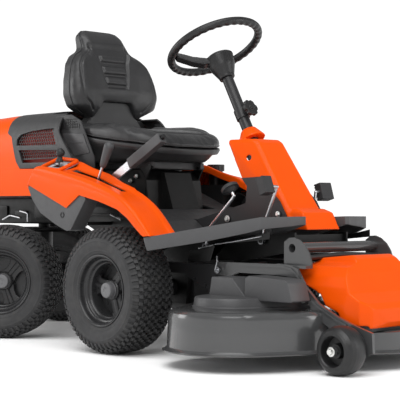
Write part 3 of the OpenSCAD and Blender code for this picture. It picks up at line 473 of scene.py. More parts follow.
def tyre_mesh():
    """A bare casing with rows of separate lugs, staggered from band to band."""
    tread, shoulder, fade = 8.5, 72, 30  # the lugs' height, where it starts to fade, and over what length
    line = resample([Vector(p) for p in smooth_line(OUTER, 8)], 140)
    arc = [0.0]
    for a, b in zip(line, line[1:]):
        arc.append(arc[-1] + (b - a).length)

    def depth(s):
        return tread if s < shoulder else max(0.0, tread * (1 - (s - shoulder) / fade))

    def on_tyre(s, lift, side, turn):
        """The point s along the section from the crown, lift above the casing, at an angle round it."""
        i = min(range(len(arc)), key=lambda k: abs(arc[k] - s))
        p = line[i]
        d = (line[min(i + 1, len(line) - 1)] - line[max(i - 1, 0)]).normalized()
        out = Vector((d.y, -d.x))
        r, h = p - out * (depth(s) - lift)
        return (r * math.cos(turn), r * math.sin(turn), side * h)

    verts, faces = [], []
    # casing, with raised rings low on the sidewall
    steps = 144
    section = []
    for side in (1, -1):
        places = [arc[-1] * k / 46 for k in range(47)]
        part = []
        for s in places:
            ring = 1.3 if 106 < s < 109 or 138 < s < 141.5 else 0.0
            part.append((s, ring, side))
        section += part[::-1] if side == 1 else part[1:]
    for k in range(steps):
        turn = 2 * math.pi * k / steps
        verts += [on_tyre(s, lift, side, turn) for s, lift, side in section]
    faces += grid_faces(steps, len(section), wrap_rows=True)

    def lug(s0, s1, middle, width, skew, side, high, flare):
        """One tread block: a low pyramid with its foot on the casing."""
        base = len(verts)
        stops = [s0, (s0 + s1) / 2, s1]
        for inset, lift in ((0.0, -2.0), (0.0, high * 0.55), (1.6, high)):
            for n, s in enumerate(stops):
                grow = 1 + flare * n / 2
                along = s + (inset if n == 0 else -inset if n == 2 else 0)
                centre = middle + skew * (s - s0) / (s1 - s0)
                half = (width / 2 * grow - inset) / TYRE_R
                for sign in (-1, 1):
                    verts.append(on_tyre(along, lift, side, centre + sign * half))
        for layer in (0, 1):
            lower, upper = base + layer * 6, base + layer * 6 + 6
            loop = (0, 1, 3, 5, 4, 2)
            for a, b in zip(loop, loop[1:] + loop[:1]):
                faces.append((lower + a, lower + b, upper + b, upper + a))
        top = base + 12
        faces.append((top, top + 1, top + 3, top + 2))
        faces.append((top + 2, top + 3, top + 5, top + 4))

    pitches, lug_width, lug_high, shoulder_high = 54, 13.0, 8.2, 5.0
    pitch = 2 * math.pi / pitches
    # each band's start and end along the section, skew and flare
    bands = ((2, 13, 0.010, 0.0), (16, 28, -0.016, 0.0), (31, 43, 0.018, 0.05), (46, 58, -0.016, 0.05),
             (61, 76, 0.012, 0.10), (74, 98, 0.0, -0.1))
    for k in range(pitches):
        for side in (1, -1):
            here = k * pitch + (0 if side == 1 else pitch / 2)
            for n, (s0, s1, skew, flare) in enumerate(bands):
                high = lug_high if n < 5 else shoulder_high
                lug(s0, s1, here + pitch * (n % 2) / 2, lug_width, skew, side, high, flare)
    mesh = bpy.data.meshes.new("tyre")
    mesh.from_pydata([tuple(c * MM for c in v) for v in verts], [], faces)
    shaded(mesh, 38)
    return mesh


def rim_mesh():
    """The deep barrel, three ribbed spokes, the hub, and a dark disc behind them that is painted shade in the spoke
    windows.
    """
    barrel = [(108, 48), (108.5, 67), (110, 70), (113, 72), (115.6, 72.4), (116, 71.2), (115.2, 73.6),
              (112, 74), (109, 72.4), (106.5, 69), (105, 63), (104, 54), (101, 50.5), (97, 49.5), (94.5, 47),
              (93, 41), (90, 37), (86.5, 35), (85, 31), (84.5, 8), (84, -30), (88, -44), (104, -52), (106, -68),
              (116, -72), (110, -68), (108, -50), (92, -38), (91, 34), (98, 46)]
    parts = [turned("barrel", barrel, FLAT, 96, closed=True)]
    for k in range(3):
        turn = Matrix.Rotation(math.radians(80 + 120 * k), 4, "Z")
        wide = rounded([(20, -30), (42, -24), (64, -25), (87, -40), (87, 40), (64, 25), (42, 24), (20, 30)], 14, 4)
        rows = [[FLAT @ turn @ Vector((x, y, h)) for x, y in wide] for h in (7, 17)]
        parts.append(add_bevel(sheet("spoke", rows, wrap_columns=True, caps=True), 2.5, 3))
        rib = rounded([(20, -7), (84, -9), (84, 9), (20, 7)], 3, 3)
        rows = [[FLAT @ turn @ Vector((x, y * s, h)) for x, y in rib] for h, s in ((16, 1), (21, 1), (24, 0.5))]
        parts.append(sheet("ridge", rows, wrap_columns=True, caps=True))
    hub = [(0, 26), (30, 26), (33, 23), (34, 8), (34, -36), (30, -40), (0, -40)]
    parts.append(turned("hub", hub, FLAT, 48))
    # painted shade: a dark disc behind the spokes stands in for the shade seen through the windows
    parts.append(turned("shade_disc", [(0, -6), (86, -6), (86, -9), (0, -9)], FLAT, 48))
    rim = freed(joined("rim_whole", parts))
    shaded(rim, 35)
    return rim


def wheels():
    """Four wheels round their own axles, each a tyre, a rim and a hub cap."""
    cap_profile = [(0, 47.5), (7, 47.5), (8, 48.6), (10, 48.6), (11, 49.8), (20.5, 49.8), (23.5, 48.4), (25, 45.6),
                   (25, 30), (26.5, 28), (26.5, 25)]
    kinds = (("tyre", tyre_mesh(), "tyre_rubber", M["tyre_rubber"]), ("rim", rim_mesh(), "rim_paint", M["rim_paint"]),
             ("hub_cap", freed(turned("cap_whole", cap_profile, FLAT, 48)), "rim_paint", CAP_GREY))
    for end in ("front", "rear"):
        for side in ("left", "right"):
            joint = JOINTS[f"{end}_{side}_spin"]
            out = Vector(joint["axis"]) * (1 if side == "left" else -1)
            place = axis_frame(Vector(joint["pos_m"]), out, (0, 0, 1)) @ Matrix.Scale(1 / MM, 4)
            for kind, mesh, slot, material in kinds:
                shape = mesh.copy()
                shape.transform(place)
                stands_for = () if kind == "hub_cap" else (f"{end}_{side}_{kind}",)
                obj = shown(f"{end}_{side}_{kind}_piece", shape)
                dress_piece(obj, f"{end}_{side}_wheel", slot, stands_for, material)


wheels()


# ---------------------------------------------------------------- fenders
def along(line, x):
    """The second number of a line at its first number x."""
    for (xa, za), (xb, zb) in zip(line, line[1:]):
        if x <= xb or (xb, zb) == tuple(line[-1]):
            t = 0 if xb == xa else max(0, min(1, (x - xa) / (xb - xa)))
            return za + (zb - za) * t
    return line[-1][1]


FENDER_INNER, FENDER_OUTER, BULGE = 293, 415, 1.6
CREST = [(-363, 608), (-345, 609), (-290, 601), (-210, 586), (-120, 567), (-32, 543), (20, 527), (62, 510),
         (107, 485), (140, 460), (170, 432), (198, 404), (219, 382)]
LOWER = [(-402, 546), (-380, 538), (-290, 504), (-193, 467), (-125, 509), (-24, 488), (20, 476), (67, 462),
         (115, 435), (148, 408), (176, 387), (182, 383), (190, 379)]


LIP = [(-420, 626), (-363, 634), (-300, 631), (-250, 624), (-190, 602), (-102, 579), (-40, 551), (20, 531), (219, 382)]


def fender(side):
    """One fender: a broad curved top that turns down into the outer face."""
    inner, outer = FENDER_INNER, FENDER_OUTER
    crest = smooth_line(CREST, 7)
    lower = [Vector(a).lerp(Vector(b), k / 7) for a, b in zip(LOWER, LOWER[1:]) for k in range(7)] + [Vector(LOWER[-1])]
    rows = []
    for i, (top, low) in enumerate(zip(crest, lower)):
        fall = (low - top)
        down = fall.normalized()
        r = min(17.0, fall.length * 0.3)
        valley = 5.0 * math.sin(math.pi * min(1, i / 14)) if i < 14 else 5.0
        skirt = 26.0 if i > 4 else 18
        row = [(inner + y, top + down * depth) for y, depth in (
            (0, skirt), (0, 8), (1.5, 2.5), (6, -1.0), (18, -1.6), (26, valley - 1), (30, valley))]
        for y in (340, 362, outer - 34, outer - 26):
            row.append((y, top + down * (valley * (outer - y) / 85)))
        for t in (math.pi / 2 * k / 6 for k in range(7)):
            row.append((outer - r + r * math.sin(t), top + down * (r - r * math.cos(t))))
        for t in (k / 8 for k in range(1, 9)):
            row.append((outer - BULGE + BULGE * math.sin(math.pi * t), top + down * (r + (fall.length - r) * t)))
        rise = max(0.0, along(LIP, top.x) - top.y)
        rows.append([P(p.x, side * y, p.y + rise * max(0.0, (outer - 26 - y) / (outer - 26 - inner)) ** 1.3)
                     for y, p in row])
    # the rear end is closed by a panel that turns in
    first = rows[0]
    rows.insert(0, [v + Vector((-14, -side * 6, -7) if v.y * side > 0.4 else (-14, 0, -8)) * MM for v in first])
    rows.insert(0, [P(-392 if i < len(first) * 0.66 else -402, v.y / MM, min(v.z / MM, 552))
                    for i, v in enumerate(rows[0])])
    name = "right" if side < 0 else "left"
    obj = sheet(f"{name}_fender_panel", rows, angle=50)
    add_shell(obj, 3.6)
    applied(obj)
    if side < 0:
        cut(obj,
            slab("slot_tool", rounded(oblong(-232, 30, 440, 640), 4), -363, -337),
            slab("panel_tool", rounded(oblong(-350, -248, 560, 660), 4), -398, -318))
    else:
        cut(obj, turned("filler_tool", [(0, 520), (34, 520), (34, 700), (0, 700)], upright(-260, 350), 40))
    return finished(obj, "chassis", "orange_plastic", (f"{name}_fender",), 42)


fender(-1)
fender(1)


def tray(name, outline, y_face, y_back):
    """An outline with walls that run back from it: a shallow moulded tray, open behind."""
    front = [P(a, y_face, b) for a, b in outline]
    eased = [P(a, y_face + (y_back - y_face) * 0.04, b) for a, b in outline]
    back = [P(a, y_back, b) for a, b in outline]
    count = len(outline)
    faces = [tuple(range(count))]
    for lower in (0, count):
        for j in range(count):
            k = (j + 1) % count
            faces.append((lower + j, lower + k, lower + count + k, lower + count + j))
    obj = make_object(name, front + eased + back, faces, 30)
    add_bevel(obj, 4, 3, 40)
    return add_shell(obj, 3.0)


CONSOLE = [(-410, 541, 6), (-384, 496, 30), (-338, 450, 24), (-254, 411, 20), (-197, 391, 14), (-174, 394, 10),
           (-95, 497, 8), (-112, 512, 6), (-150, 525, 2), (-200, 475, 2), (-300, 512, 2), (-396, 549, 3)]


def consoles():
    """The mouldings below the fenders, each with a bushed hole."""
    parts = [tray(f"console_{side}", rounded(CONSOLE, 8), side * 409, side * 352) for side in (-1, 1)]
    for side in (-1, 1):
        rim = turned(f"console_hole_{side}", [(7, 0), (10, 0), (10, 2.0), (8, 2.4), (6.4, 1.2), (6.4, -8), (0, -8)],
                     axis_frame(P(-217, side * 409, 444), (0, side, 0)), 32)
        dress_piece(rim, "chassis", "black_plastic")
    finished(joined("side_console_mouldings", parts), "chassis", "grey_plastic", ("side_consoles",), 35)


consoles()


def control_panel():
    """The light plate in its raised rim, and the throttle with its boot and round grip."""
    corners = [(-352, -316, 637), (-250, -316, 626), (-250, -398, 592), (-352, -398, 603)]
    sunk = 7
    plate = sheet("panel_plate", [[P(x, y, z - sunk) for x, y, z in pair] for pair in (corners[:2], corners[:1:-1])])
    add_shell(plate, 3)
    cut(applied(plate),
        slab("slit", rounded(oblong(-330, -276, -364, -344), 4), 560, 660, "xy"),
        turned("key_hole", [(0, 560), (12.5, 560), (12.5, 660), (0, 660)], upright(-266, -338), 32))
    fall_x, fall_y, proud, drop = 0.108, 0.415, 0.8, 2.1
    marks = []
    for x, y, w in ((-345, -330, 16), (-345, -345, 12), (-292, -326, 14), (-270, -372, 14)):
        z = 630 - (x + 352) * fall_x - (-316 - y) * fall_y + proud
        marks.append(sheet("mark", [[P(x, y - deep, z - fall), P(x + w, y - deep, z - fall - w * fall_x)]
                                    for deep, fall in ((0, 0), (5, drop))]))
    dress_piece(joined("panel_marks", marks), "chassis", "black_plastic")
    dress_piece(plate, "chassis", "light_panel", ("control_panel",))
    path = []
    for k in range(4):
        path += corner(*(Vector(corners[(k + n) % 4]) for n in (-1, 0, 1)), 14, 5)
    path.append(path[0])
    rim = tube("panel_rim", [P(v.x, v.y, v.z) for v in path], 6.5, 14)
    dress_piece(rim, "chassis", "orange_plastic")
    tilt = math.radians(10)
    up = Vector((math.sin(tilt), 0, math.cos(tilt)))
    flat = Vector((math.cos(tilt), 0, -math.sin(tilt)))
    root = P(-299, -358, 601) + flat * -9 * MM + Vector((0, 4 * MM, 0))
    stem = turned("stem", [(0, -24), (2.4, -24), (2.4, 22), (0, 22)], axis_frame(root, up), 12)
    bellows = [(0, 21), (13.5, 21), (13.5, 24), (10.5, 30), (9, 36), (8, 42), (0, 42)]
    boot = turned("boot", bellows, axis_frame(root, up), 32)
    knob_r, knob_z = 15.5, 52
    knob = [(0, 33)] + [(knob_r * math.sin(t), knob_z - knob_r * math.cos(t))
                        for t in (math.pi * k / 12 for k in range(2, 13))]
    grip = turned("grip", knob, axis_frame(root, up), 32)
    finished(joined("throttle_piece", [stem, boot, grip]), NODES["throttle_lever"]["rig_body"], "black_plastic",
             ("throttle_lever",), 40)


control_panel()

# ---------------------------------------------------------------- hood
HOOD_HALF = [(270, 510), (270.5, 560), (270, 620), (269, 690), (265, 726), (257, 753), (244, 776), (225, 794),
             (198, 806), (160, 813), (100, 817), (0, 819)]
HOOD_ROOF = [(-1288, 560), (-1286, 640), (-1276, 690), (-1254, 728), (-1210, 762), (-1130, 789), (-1000, 807),
             (-860, 815), (-708, 819), (-290, 819)]
HOOD_PLAN = [(-1288, 150), (-1284, 190), (-1268, 222), (-1236, 250), (-1180, 266), (-1080, 270), (-290, 270)]
HOOD_END, HOOD_WALL, HOOD_SIDE, HOOD_LOW, HOOD_TOP = -1283, 3.5, 270, 510, 819
ROOF_LINE = [tuple(p) for p in smooth_line(HOOD_ROOF, 6)]
PLAN_LINE = [tuple(p) for p in smooth_line(HOOD_PLAN, 6)]


def hood_point(x, half, grow=0.0):
    """A point of the hood's skin: half is a point of the full cross-section."""
    y, z = half
    wide = along(PLAN_LINE, x) / HOOD_SIDE
    high = HOOD_LOW + (z - HOOD_LOW) * (along(ROOF_LINE, x) - HOOD_LOW) / (HOOD_TOP - HOOD_LOW)
    return P(x, (y + (grow if y > 5 else 0)) * wide, high + (grow if z > 800 else grow * 0.6 if z > 760 else 0))


def hood_patch(name, start, stop, half, steps, grow=0.0):
    """Both sides of a stretch of the hood, from start(y, z) to stop(y, z)."""
    full = [(s, p) for s, line in ((-1, half), (1, half[::-1][1:])) for p in line]
    rows = [[hood_point(start(p) * (1 - t) + stop(p) * t, p, grow) * Vector((1, s, 1)) for s, p in full]
            for t in (k / steps for k in range(steps + 1))]
    return sheet(name, rows, 40)


FRAME_REAR = [(500, -500), (606, -500), (607.5, -643), (636, -669), (725, -699), (740, -729), (819, -735)]
FRAME_FRONT = [(500, -318), (607, -318), (642, -345), (735, -424), (800, -437), (819, -437)]


def hood():
    """The engine cover's skin, its rear wall and the rolled edge between them."""
    half = smooth_line(HOOD_HALF, 5)
    step = [Vector((270.2, 606)), Vector((270.2, 607.5)), Vector((270, 612))]
    split = sorted(half + step, key=lambda p: (p.y, -p.x))
    shell = hood_patch("hood_skin", lambda p: along(FRAME_REAR, p.y), lambda p: HOOD_END, split, 40)
    add_shell(shell, HOOD_WALL)
    # rear wall
    rear = [hood_point(HOOD_END, p) for p in split]
    ring = [v * Vector((1, -1, 1)) for v in rear] + rear[::-1][1:]
    back = make_object("hood_back", ring, [tuple(range(len(ring)))], 30)
    add_shell(back, HOOD_WALL)
    seam = [Vector((v.x + 0.001, v.y, v.z)) for v in ring]
    trim = tube("hood_back_edge", seam, 3.2, 8)
    finished(joined("hood_shell_skin", [shell, back, trim]), "hood", "orange_plastic", ("hood_shell",), 45)


def hood_frame():
    """The grey frame in front of the hood, with two windows a side over an orange liner painted dark as the shade
    inside the vents.
    """
    half = [p for p in smooth_line(HOOD_HALF, 5) if p.y > 612]
    half = [Vector((270, 609))] + half
    obj = hood_patch("hood_vent_frame", lambda p: along(FRAME_REAR, p.y) + 1, lambda p: along(FRAME_FRONT, p.y),
                     half, 24, 1.2)
    add_shell(obj, 6)
    applied(obj)
    upper = rounded([(-664, 693, 4), (-664, 717, 12), (-644, 732, 16), (-589, 742, 12), (-515, 747, 8),
                     (-457, 748, 5), (-417, 686, 5)])
    lower = rounded([(-651, 676), (-424, 669), (-385, 627), (-628, 629)], 4)
    cut(obj, slab("upper_window", upper, -400, 400), slab("lower_window", lower, -400, 400),
        slab("seat_gap", rounded(oblong(-522, -200, 700, 900), 2), -214, 214))
    add_bevel(obj, 1.6, 2, 40)
    dress_piece(obj, "hood", "grey_plastic", ("hood_frame",), FRAME_GREY)
    for side in (-1, 1):
        # painted shade: each liner takes the darkened orange of the shaded inside of the vents
        liner = slab(f"vent_shade_liner_{side}", rounded([(-690, 616), (-690, 766), (-470, 766), (-395, 616)], 10),
                     side * 243, side * 246)
        dress_piece(liner, "hood", "orange_plastic", material=SHADED_ORANGE)


def intake_sides():
    """The panels beside the seat that carry the forward air grilles."""
    parts, grilles, plates = [], [], []
    for side in (-1, 1):
        line = rounded([(-476, 590), (-476, 792), (-388, 794), (-336, 770), (-312, 728), (-262, 640), (-262, 590)], 8)
        if side > 0:
            line = rounded([(-476, 590), (-476, 792), (-440, 793), (-425, 728), (-425, 590)], 8)
        parts.append(add_bevel(slab("intake_side", line, side * 231, side * 236), 1.6, 2))
        if side > 0:
            continue
        grille = rounded([(-468, 744), (-462, 784), (-394, 785), (-346, 764), (-340, 740)], 4)
        grilles.append(slab("grille_back", grille, side * 235.5, side * 236.6))
        for k in range(13):
            x = -462 + 10 * k
            top = 780 if x < -400 else 780 - (x + 400) * 0.35
            grilles.append(tube("bar", [P(x, side * 237, z) for z in (745, top)], 1.1, 5))
        for k in range(4):
            grilles.append(tube("bar", [P(x, side * 237, 750 + 9 * k) for x in (-464, -350 - 3 * k)], 1.1, 5))
        plate = rounded([(-437, 730), (-321, 723), (-285, 656), (-367, 649)], 5)
        plates.append(add_bevel(slab("side_plate", plate, side * 235, side * 239), 1.2, 2))
        plates.append(tube("slot_line", [P(-395, side * 239, 696), P(-321, side * 239, 693)], 1.5, 6))
    finished(joined("intake_side_panels", parts), "chassis", "dark_plastic", (), 40)
    finished(joined("intake_grilles", grilles), "chassis", "black_plastic", (), 40)
    finished(joined("intake_side_plates", plates), "chassis", "grey_plastic", (), 40, COVER_GREY)


hood()
hood_frame()
intake_sides()
paint("vent_mesh", "black_plastic")
machined("intake_housing", "dark_plastic", 1.5)
machined("engine_block", "cast_alloy", 1.5)
paint("muffler", "bare_steel")

# ---------------------------------------------------------------- seat
def swollen(obj, voxel_mm, rounds):
    """The body of a cushion: remeshed, blown up as cloth, held within a cap, and subdivided once."""
    pressure, cap, stiff = 3.0, 6 * MM, 8.0
    remeshed(obj, voxel_mm, rounds)
    start = [v.co.copy() for v in obj.data.vertices]
    cloth = modify(obj, "CLOTH")
    for key, value in {"quality": 4, "mass": 0.3, "tension_stiffness": stiff, "compression_stiffness": stiff,
                       "shear_stiffness": stiff * 0.6, "bending_stiffness": 1.0, "use_pressure": True,
                       "uniform_pressure_force": pressure}.items():
        setattr(cloth.settings, key, value)
    cloth.settings.effector_weights.gravity = 0
    cloth.collision_settings.use_collision = False
    for step in range(1, 21):
        bpy.context.scene.frame_set(step)
    applied(obj)
    bpy.context.scene.frame_set(1)
    for vertex, was in zip(obj.data.vertices, start):
        move = vertex.co - was
        if move.length > cap:
            vertex.co = was + move.normalized() * cap
    obj.data.shade_smooth()
    modify(obj, "SUBSURF", levels=1, render_levels=1)
    return applied(obj)


def carve(obj, tracks, width_mm, depth_mm):
    """Presses a narrow channel into the surface along each track, as sewing does."""
    points = []
    for track in tracks:
        for a, b in zip(track, track[1:]):
            count = max(2, int((b - a).length / (width_mm * MM * 0.5)))
            points += [a.lerp(b, k / count) for k in range(count)]
    tree = KDTree(len(points))
    for i, point in enumerate(points):
        tree.insert(point, i)
    tree.balance()
    normals = [v.normal.copy() for v in obj.data.vertices]
    for vertex, normal in zip(obj.data.vertices, normals):
        distance = tree.find(vertex.co)[2]
        if distance < width_mm * MM:
            t = 1 - distance / (width_mm * MM)
            vertex.co -= normal * depth_mm * MM * t * t * (3 - 2 * t)


def projected(obj, points, lift_mm=0.0):
    """The points moved onto the surface."""
    tree = BVHTree.FromObject(obj, bpy.context.evaluated_depsgraph_get())
    out = []
    for point in points:
        spot, normal, _, _ = tree.find_nearest(point)
        out.append(spot + normal * lift_mm * MM)
    return out


def piping(name, obj, points, closed=True):
    """A welt of the same vinyl sewn into a seam."""
    radius = 2.2
    track = projected(obj, smooth_line([Vector(p) for p in points], 5), radius * 0.35)
    if closed:
        track.append(track[0])
    even = resample(track, 160)
    return dress_piece(tube(name, even, radius, 10), "seat", "seat_vinyl")


CUSHION_PLAN = [(-424, 150), (-412, 188), (-385, 212), (-330, 227), (-230, 226), (-150, 218), (-90, 201),
                (-50, 167), (-22, 112), (-9, 50)]
CUSHION_TOP = [(-430, 752), (-340, 741), (-250, 738), (-140, 734), (-80, 722), (-40, 706), (-9, 690)]
SEAM = [(-430, 726), (-340, 720), (-274, 708), (-180, 695), (-85, 683), (-9, 668)]
BACK_EDGE = [(785, 110), (829, 190), (870, 205), (925, 198), (985, 178), (1020, 150), (1042, 110), (1060, 106),
             (1098, 100), (1121, 80)]
BACK_FACE = [(785, -430), (826, -409), (888, -412), (957, -428), (1009, -444), (1050, -464), (1103, -502), (1121, -520)]
BACK_REAR = [(785, -488), (810, -504), (880, -511), (950, -523), (1010, -541), (1100, -560), (1121, -552)]
PANEL_EDGE = [(899, 50), (904, 53), (941, 62), (1000, 73), (1048, 98), (1075, 92)]


def eased(t):
    """0 to 1 with a soft start and end."""
    t = max(0.0, min(1.0, t))
    return t * t * (3 - 2 * t)


def cushion_rings(levels):
    """Rings round the cushion's plan; each level is an inset and a height for every place on the ring."""
    half = [tuple(p) for p in smooth_line(CUSHION_PLAN, 5)]
    ring = half + [(x, -y) for x, y in half[::-1]]
    middle_x = -235
    rows = []
    for inset, height in levels:
        row = []
        for x, y in ring:
            reach = math.hypot(x - middle_x, y)
            k = max(0.0, 1 - inset / reach)
            xx, yy = middle_x + (x - middle_x) * k, y * k
            row.append(P(xx, yy, height(xx, yy)))
        rows.append(row)
    return rows


def raised(obj, amount):
    """Moves every vertex along its normal by amount(place in millimetres, normal)."""
    normals = [v.normal.copy() for v in obj.data.vertices]
    for vertex, normal in zip(obj.data.vertices, normals):
        here = (vertex.co - P(0, 0, 0)) / MM
        vertex.co += normal * amount(here, normal) * MM


def seat():
    """The cushion and backrest with their channels and piping, and the moulded pan."""
    def seam(x, y):
        return along(SEAM, x)

    def top(x, y):
        return along(CUSHION_TOP, x) + 17 * eased((abs(y) - 115) / 60) * eased((-90 - x) / 140)

    rows = cushion_rings([(120, lambda x, y: seam(x, y) - 2), (6, seam), (0, lambda x, y: seam(x, y) + 6),
                          (1, lambda x, y: seam(x, y) * 0.4 + top(x, y) * 0.6), (6, lambda x, y: top(x, y) - 8),
                          (18, lambda x, y: top(x, y) - 1), (44, top), (90, top), (150, top)])
    cushion = sheet("seat_cushion_body", rows, wrap_columns=True, caps=True)
    swollen(cushion, 7.0, 4)
    tracks = []
    for side in (-1, 1):
        line = [P(-418, side * 138, 752), P(-330, side * 136, 745), P(-230, side * 134, 745), P(-140, side * 138, 748),
                P(-70, side * 120, 742)]
        tracks.append(projected(cushion, smooth_line(line, 8)))
    tracks.append(projected(cushion, smooth_line([P(-70, y, 742) for y in (-120, -60, 0, 60, 120)], 8)))
    carve(cushion, tracks, 9, 4.0)
    dress_piece(cushion, "seat", "seat_vinyl", ("seat_cushion",))
    ring = CUSHION_PLAN + [(x, -y) for x, y in CUSHION_PLAN[::-1]]
    piping("cushion_welt", cushion, [P(x, y, along(SEAM, x) + 3) for x, y in ring + ring[:1]])

    # back
    low, high, levels, columns = 785, 1121, 45, 24
    rows = []
    for k in range(levels + 1):
        z = low + (high - low) * k / levels
        w, face, rear = along(BACK_EDGE, z), along(BACK_FACE, z), along(BACK_REAR, z)
        deep = face - rear
        row = []
        for j in range(columns + 1):
            t = -1 + 2 * j / columns
            edge = (1 - abs(t)) * w
            wing = 9 * eased((abs(t) * w - 95) / 60) * eased((1040 - z) / 60)
            drop = deep * 0.20 * max(0.0, 1 - edge / 26) ** 2
            row.append(P(face + wing - drop, t * w, z))
        for j in range(columns + 1):
            t = 1 - 2 * j / columns
            edge = (1 - abs(t)) * w
            row.append(P(rear + deep * 0.18 * max(0.0, 1 - edge / 30) ** 2, t * w * 0.97, z))
        rows.append(row)
    back = sheet("seat_back_body", rows, wrap_columns=True, caps=True)
    cut(back, slab("notch", [(-114, 770), (114, 770), (66, 845), (-66, 845)], -620, -360, plane="yz"))
    swollen(back, 6.5, 5)

    def panel(here, normal):
        if normal.x < 0.25:
            return 0.0
        y, z = abs(here.y), here.z
        inside = eased((along(PANEL_EDGE, z) - y) / 9) * eased((z - 897) / 9) * eased((1074 - z) / 26)
        depth = -11.0 * inside
        for low, high, half_width in ((1000, 1023, 56), (956, 981, 52), (917, 942, 45)):
            depth += 10.0 * eased((z - low + 4) / 8) * eased((high + 4 - z) / 8) * eased((half_width - y) / 8 + 0.4)
        return depth

    raised(back, panel)
    tracks = []
    for side in (-1, 1):
        line = [P(-400, side * 112, 812), P(-400, side * 134, 838), P(-400, side * 163, 868), P(-415, side * 166, 930),
                P(-430, side * 160, 985), P(-450, side * 128, 1022), P(-460, side * 100, 1046)]
        tracks.append(projected(back, smooth_line(line, 8)))
    carve(back, tracks, 8, 4.5)
    dress_piece(back, "seat", "seat_vinyl", ("seat_back",))
    edge_heights = (800, 829, 870, 925, 985, 1018, 1044, 1066, 1100, 1117)
    half = [(along(BACK_EDGE, z), z) for z in edge_heights]
    ring = half + [(-y, z) for y, z in half[::-1]]
    place = [P(along(BACK_FACE, z) * 0.62 + along(BACK_REAR, z) * 0.38, y, z) for y, z in ring]
    piping("backrest_welt", back, place, closed=False)

    # the pan under the cushion, and the neck behind it
    pan = sheet("seat_pan", cushion_rings([
        (14, lambda x, y: seam(x, y) - 1), (6, lambda x, y: seam(x, y) - 3), (5, lambda x, y: seam(x, y) - 9),
        (12, lambda x, y: seam(x, y) - 22), (26, lambda x, y: 0.45 * seam(x, y) + 0.55 * 640),
        (44, lambda x, y: 640), (58, lambda x, y: 629), (70, lambda x, y: 626), (140, lambda x, y: 622)]),
        50, wrap_columns=True, caps=True)
    neck = slab("neck", rounded([(-112, 616), (-150, 700), (-148, 750), (-112, 790), (-68, 856), (68, 856), (112, 790),
                                 (148, 750), (150, 700), (112, 616)], 14), -482, -434, plane="yz")
    add_bevel(neck, 8, 4)
    foot = slab("foot", rounded([(-380, 600), (-380, 630), (-110, 630), (-110, 600)], 5), -108, 108)
    add_bevel(foot, 3, 2)
    ears = [slab("ear", rounded([(-111, 600), (-111, 625), (-85, 625), (-85, 600)], 7), side * 101, side * 117)
            for side in (-1, 1)]
    dress_piece(joined("seat_pan_moulding", [pan, neck, foot] + ears), "seat", "black_plastic", ("seat_shell",),
                PAN_GREY)


seat()
machined("seat_support", "black_paint", 1.6)
for y in (-134, 134):
    for letter, x, z in (("a", -160, 575), ("b", -190, 560)):
        hex_bolt(f"seat_bolt_{letter}_{y // 134}", P(x, y, z), (0, y, 0), 10)

# ---------------------------------------------------------------- boards and deck
BOARD_LINE = [(192, 375), (535, 440), (590, 442), (590, 422), (566, 412), (500, 393), (380, 366), (206, 335)]
BOARD_PLAN = [(180, 414), (200, 414, 14), (535, 252, 18), (577, 112, 16), (577, 93), (441, 93), (441, 103), (180, 103)]


def board(side, shrink=0.0):
    """One footboard, solid; shrunk, it is the tool that hollows it from below."""
    line, plan = BOARD_LINE, BOARD_PLAN
    if shrink:
        line = [(190, 375 - shrink), (535, 440 - shrink), (592, 442 - shrink), (592, 380), (500, 380), (190, 310)]
        plan = [(170, 414 - shrink), (199, 414 - shrink, 12), (532, 252 - shrink * 0.8, 16), (573, 112, 12), (573, 97),
                (446, 97), (446, 107), (170, 107)]
    shape = slab("board", line, side * 60, side * 430)
    outline = [(x, side * y) for x, y in rounded(plan, 3)]
    return combined(shape, "INTERSECT", slab("outline", outline, 280, 520, "xy"))


def footboards():
    """The boards with their pedal slots, and low ribs against slipping."""
    pedal_slots = {-1: ((436, 480, -148, -132, 380, 460), (244, 292, -209, -191, 340, 420)),
                   1: ((382, 436, 132, 148, 380, 460),)}
    parts = []
    for side, slots in pedal_slots.items():
        shape = cut(board(side), board(side, 4.0))
        for *edges, low, high in slots:
            cut(shape, slab("slot", rounded(oblong(*edges), 4), low, high, "xy"))
        parts.append(add_bevel(shape, 2.4, 3, 40))
    finished(joined("footboard_mouldings", parts), "chassis", "grey_plastic", ("footboards",), 40)
    # where a rib stops short of a slot: side, first and last x, first and last y
    gaps = ((-1, 425, 490, 125, 156), (-1, 234, 302, 184, 216), (1, 372, 446, 125, 156))
    first, pitch, count, inner_y = 225, 21, 15, 118
    ribs = []
    for side in (-1, 1):
        for x in range(first, first + count * pitch, pitch):
            outer_y = min(395, along(((200, 414), (535, 252)), x)) - 16
            stops = [inner_y]
            for gap_side, x0, x1, y0, y1 in gaps:
                if side == gap_side and x0 < x < x1:
                    stops += [y0, y1]
            stops.append(outer_y)
            z = along(BOARD_LINE[:2], x)
            ribs += [tube("rib", [P(x, side * y, z + 0.4) for y in span], 1.5, 6)
                     for span in zip(stops[::2], stops[1::2]) if span[1] - span[0] > 14]
    dress_piece(joined("footboard_ribs", ribs), "chassis", "black_plastic")


footboards()


def hull(points):
    """The convex outline round the points."""
    points = sorted(set((round(x, 3), round(y, 3)) for x, y in points))

    def half(line):
        out = []
        for p in line:
            while len(out) > 1 and ((out[-1][0] - out[-2][0]) * (p[1] - out[-2][1])
                                    - (out[-1][1] - out[-2][1]) * (p[0] - out[-2][0])) <= 0:
                out.pop()
            out.append(p)
        return out[:-1]
    return half(points) + half(points[::-1])


def stepped(name, outline, levels, side):
    """A plan outline carried up through (height, inset) levels."""
    middle = Vector((sum(p[0] for p in outline) / len(outline), sum(p[1] for p in outline) / len(outline)))
    rows = []
    for z, inset in levels:
        moved = [middle + away * max(0.0, 1 - inset / away.length) for away in (Vector(p) - middle for p in outline)]
        rows.append([P(v.x, side * v.y, z) for v in moved])
    return sheet(name, rows, 34, wrap_columns=True, caps=True)


# the spindles' places in plan; the last is the middle one, in the round lobe
SPINDLES = ((507, -325), (507, 325), (700, 0))
LOBE_R, LOBE_LOW, LOBE_HIGH = 215, 50, 113


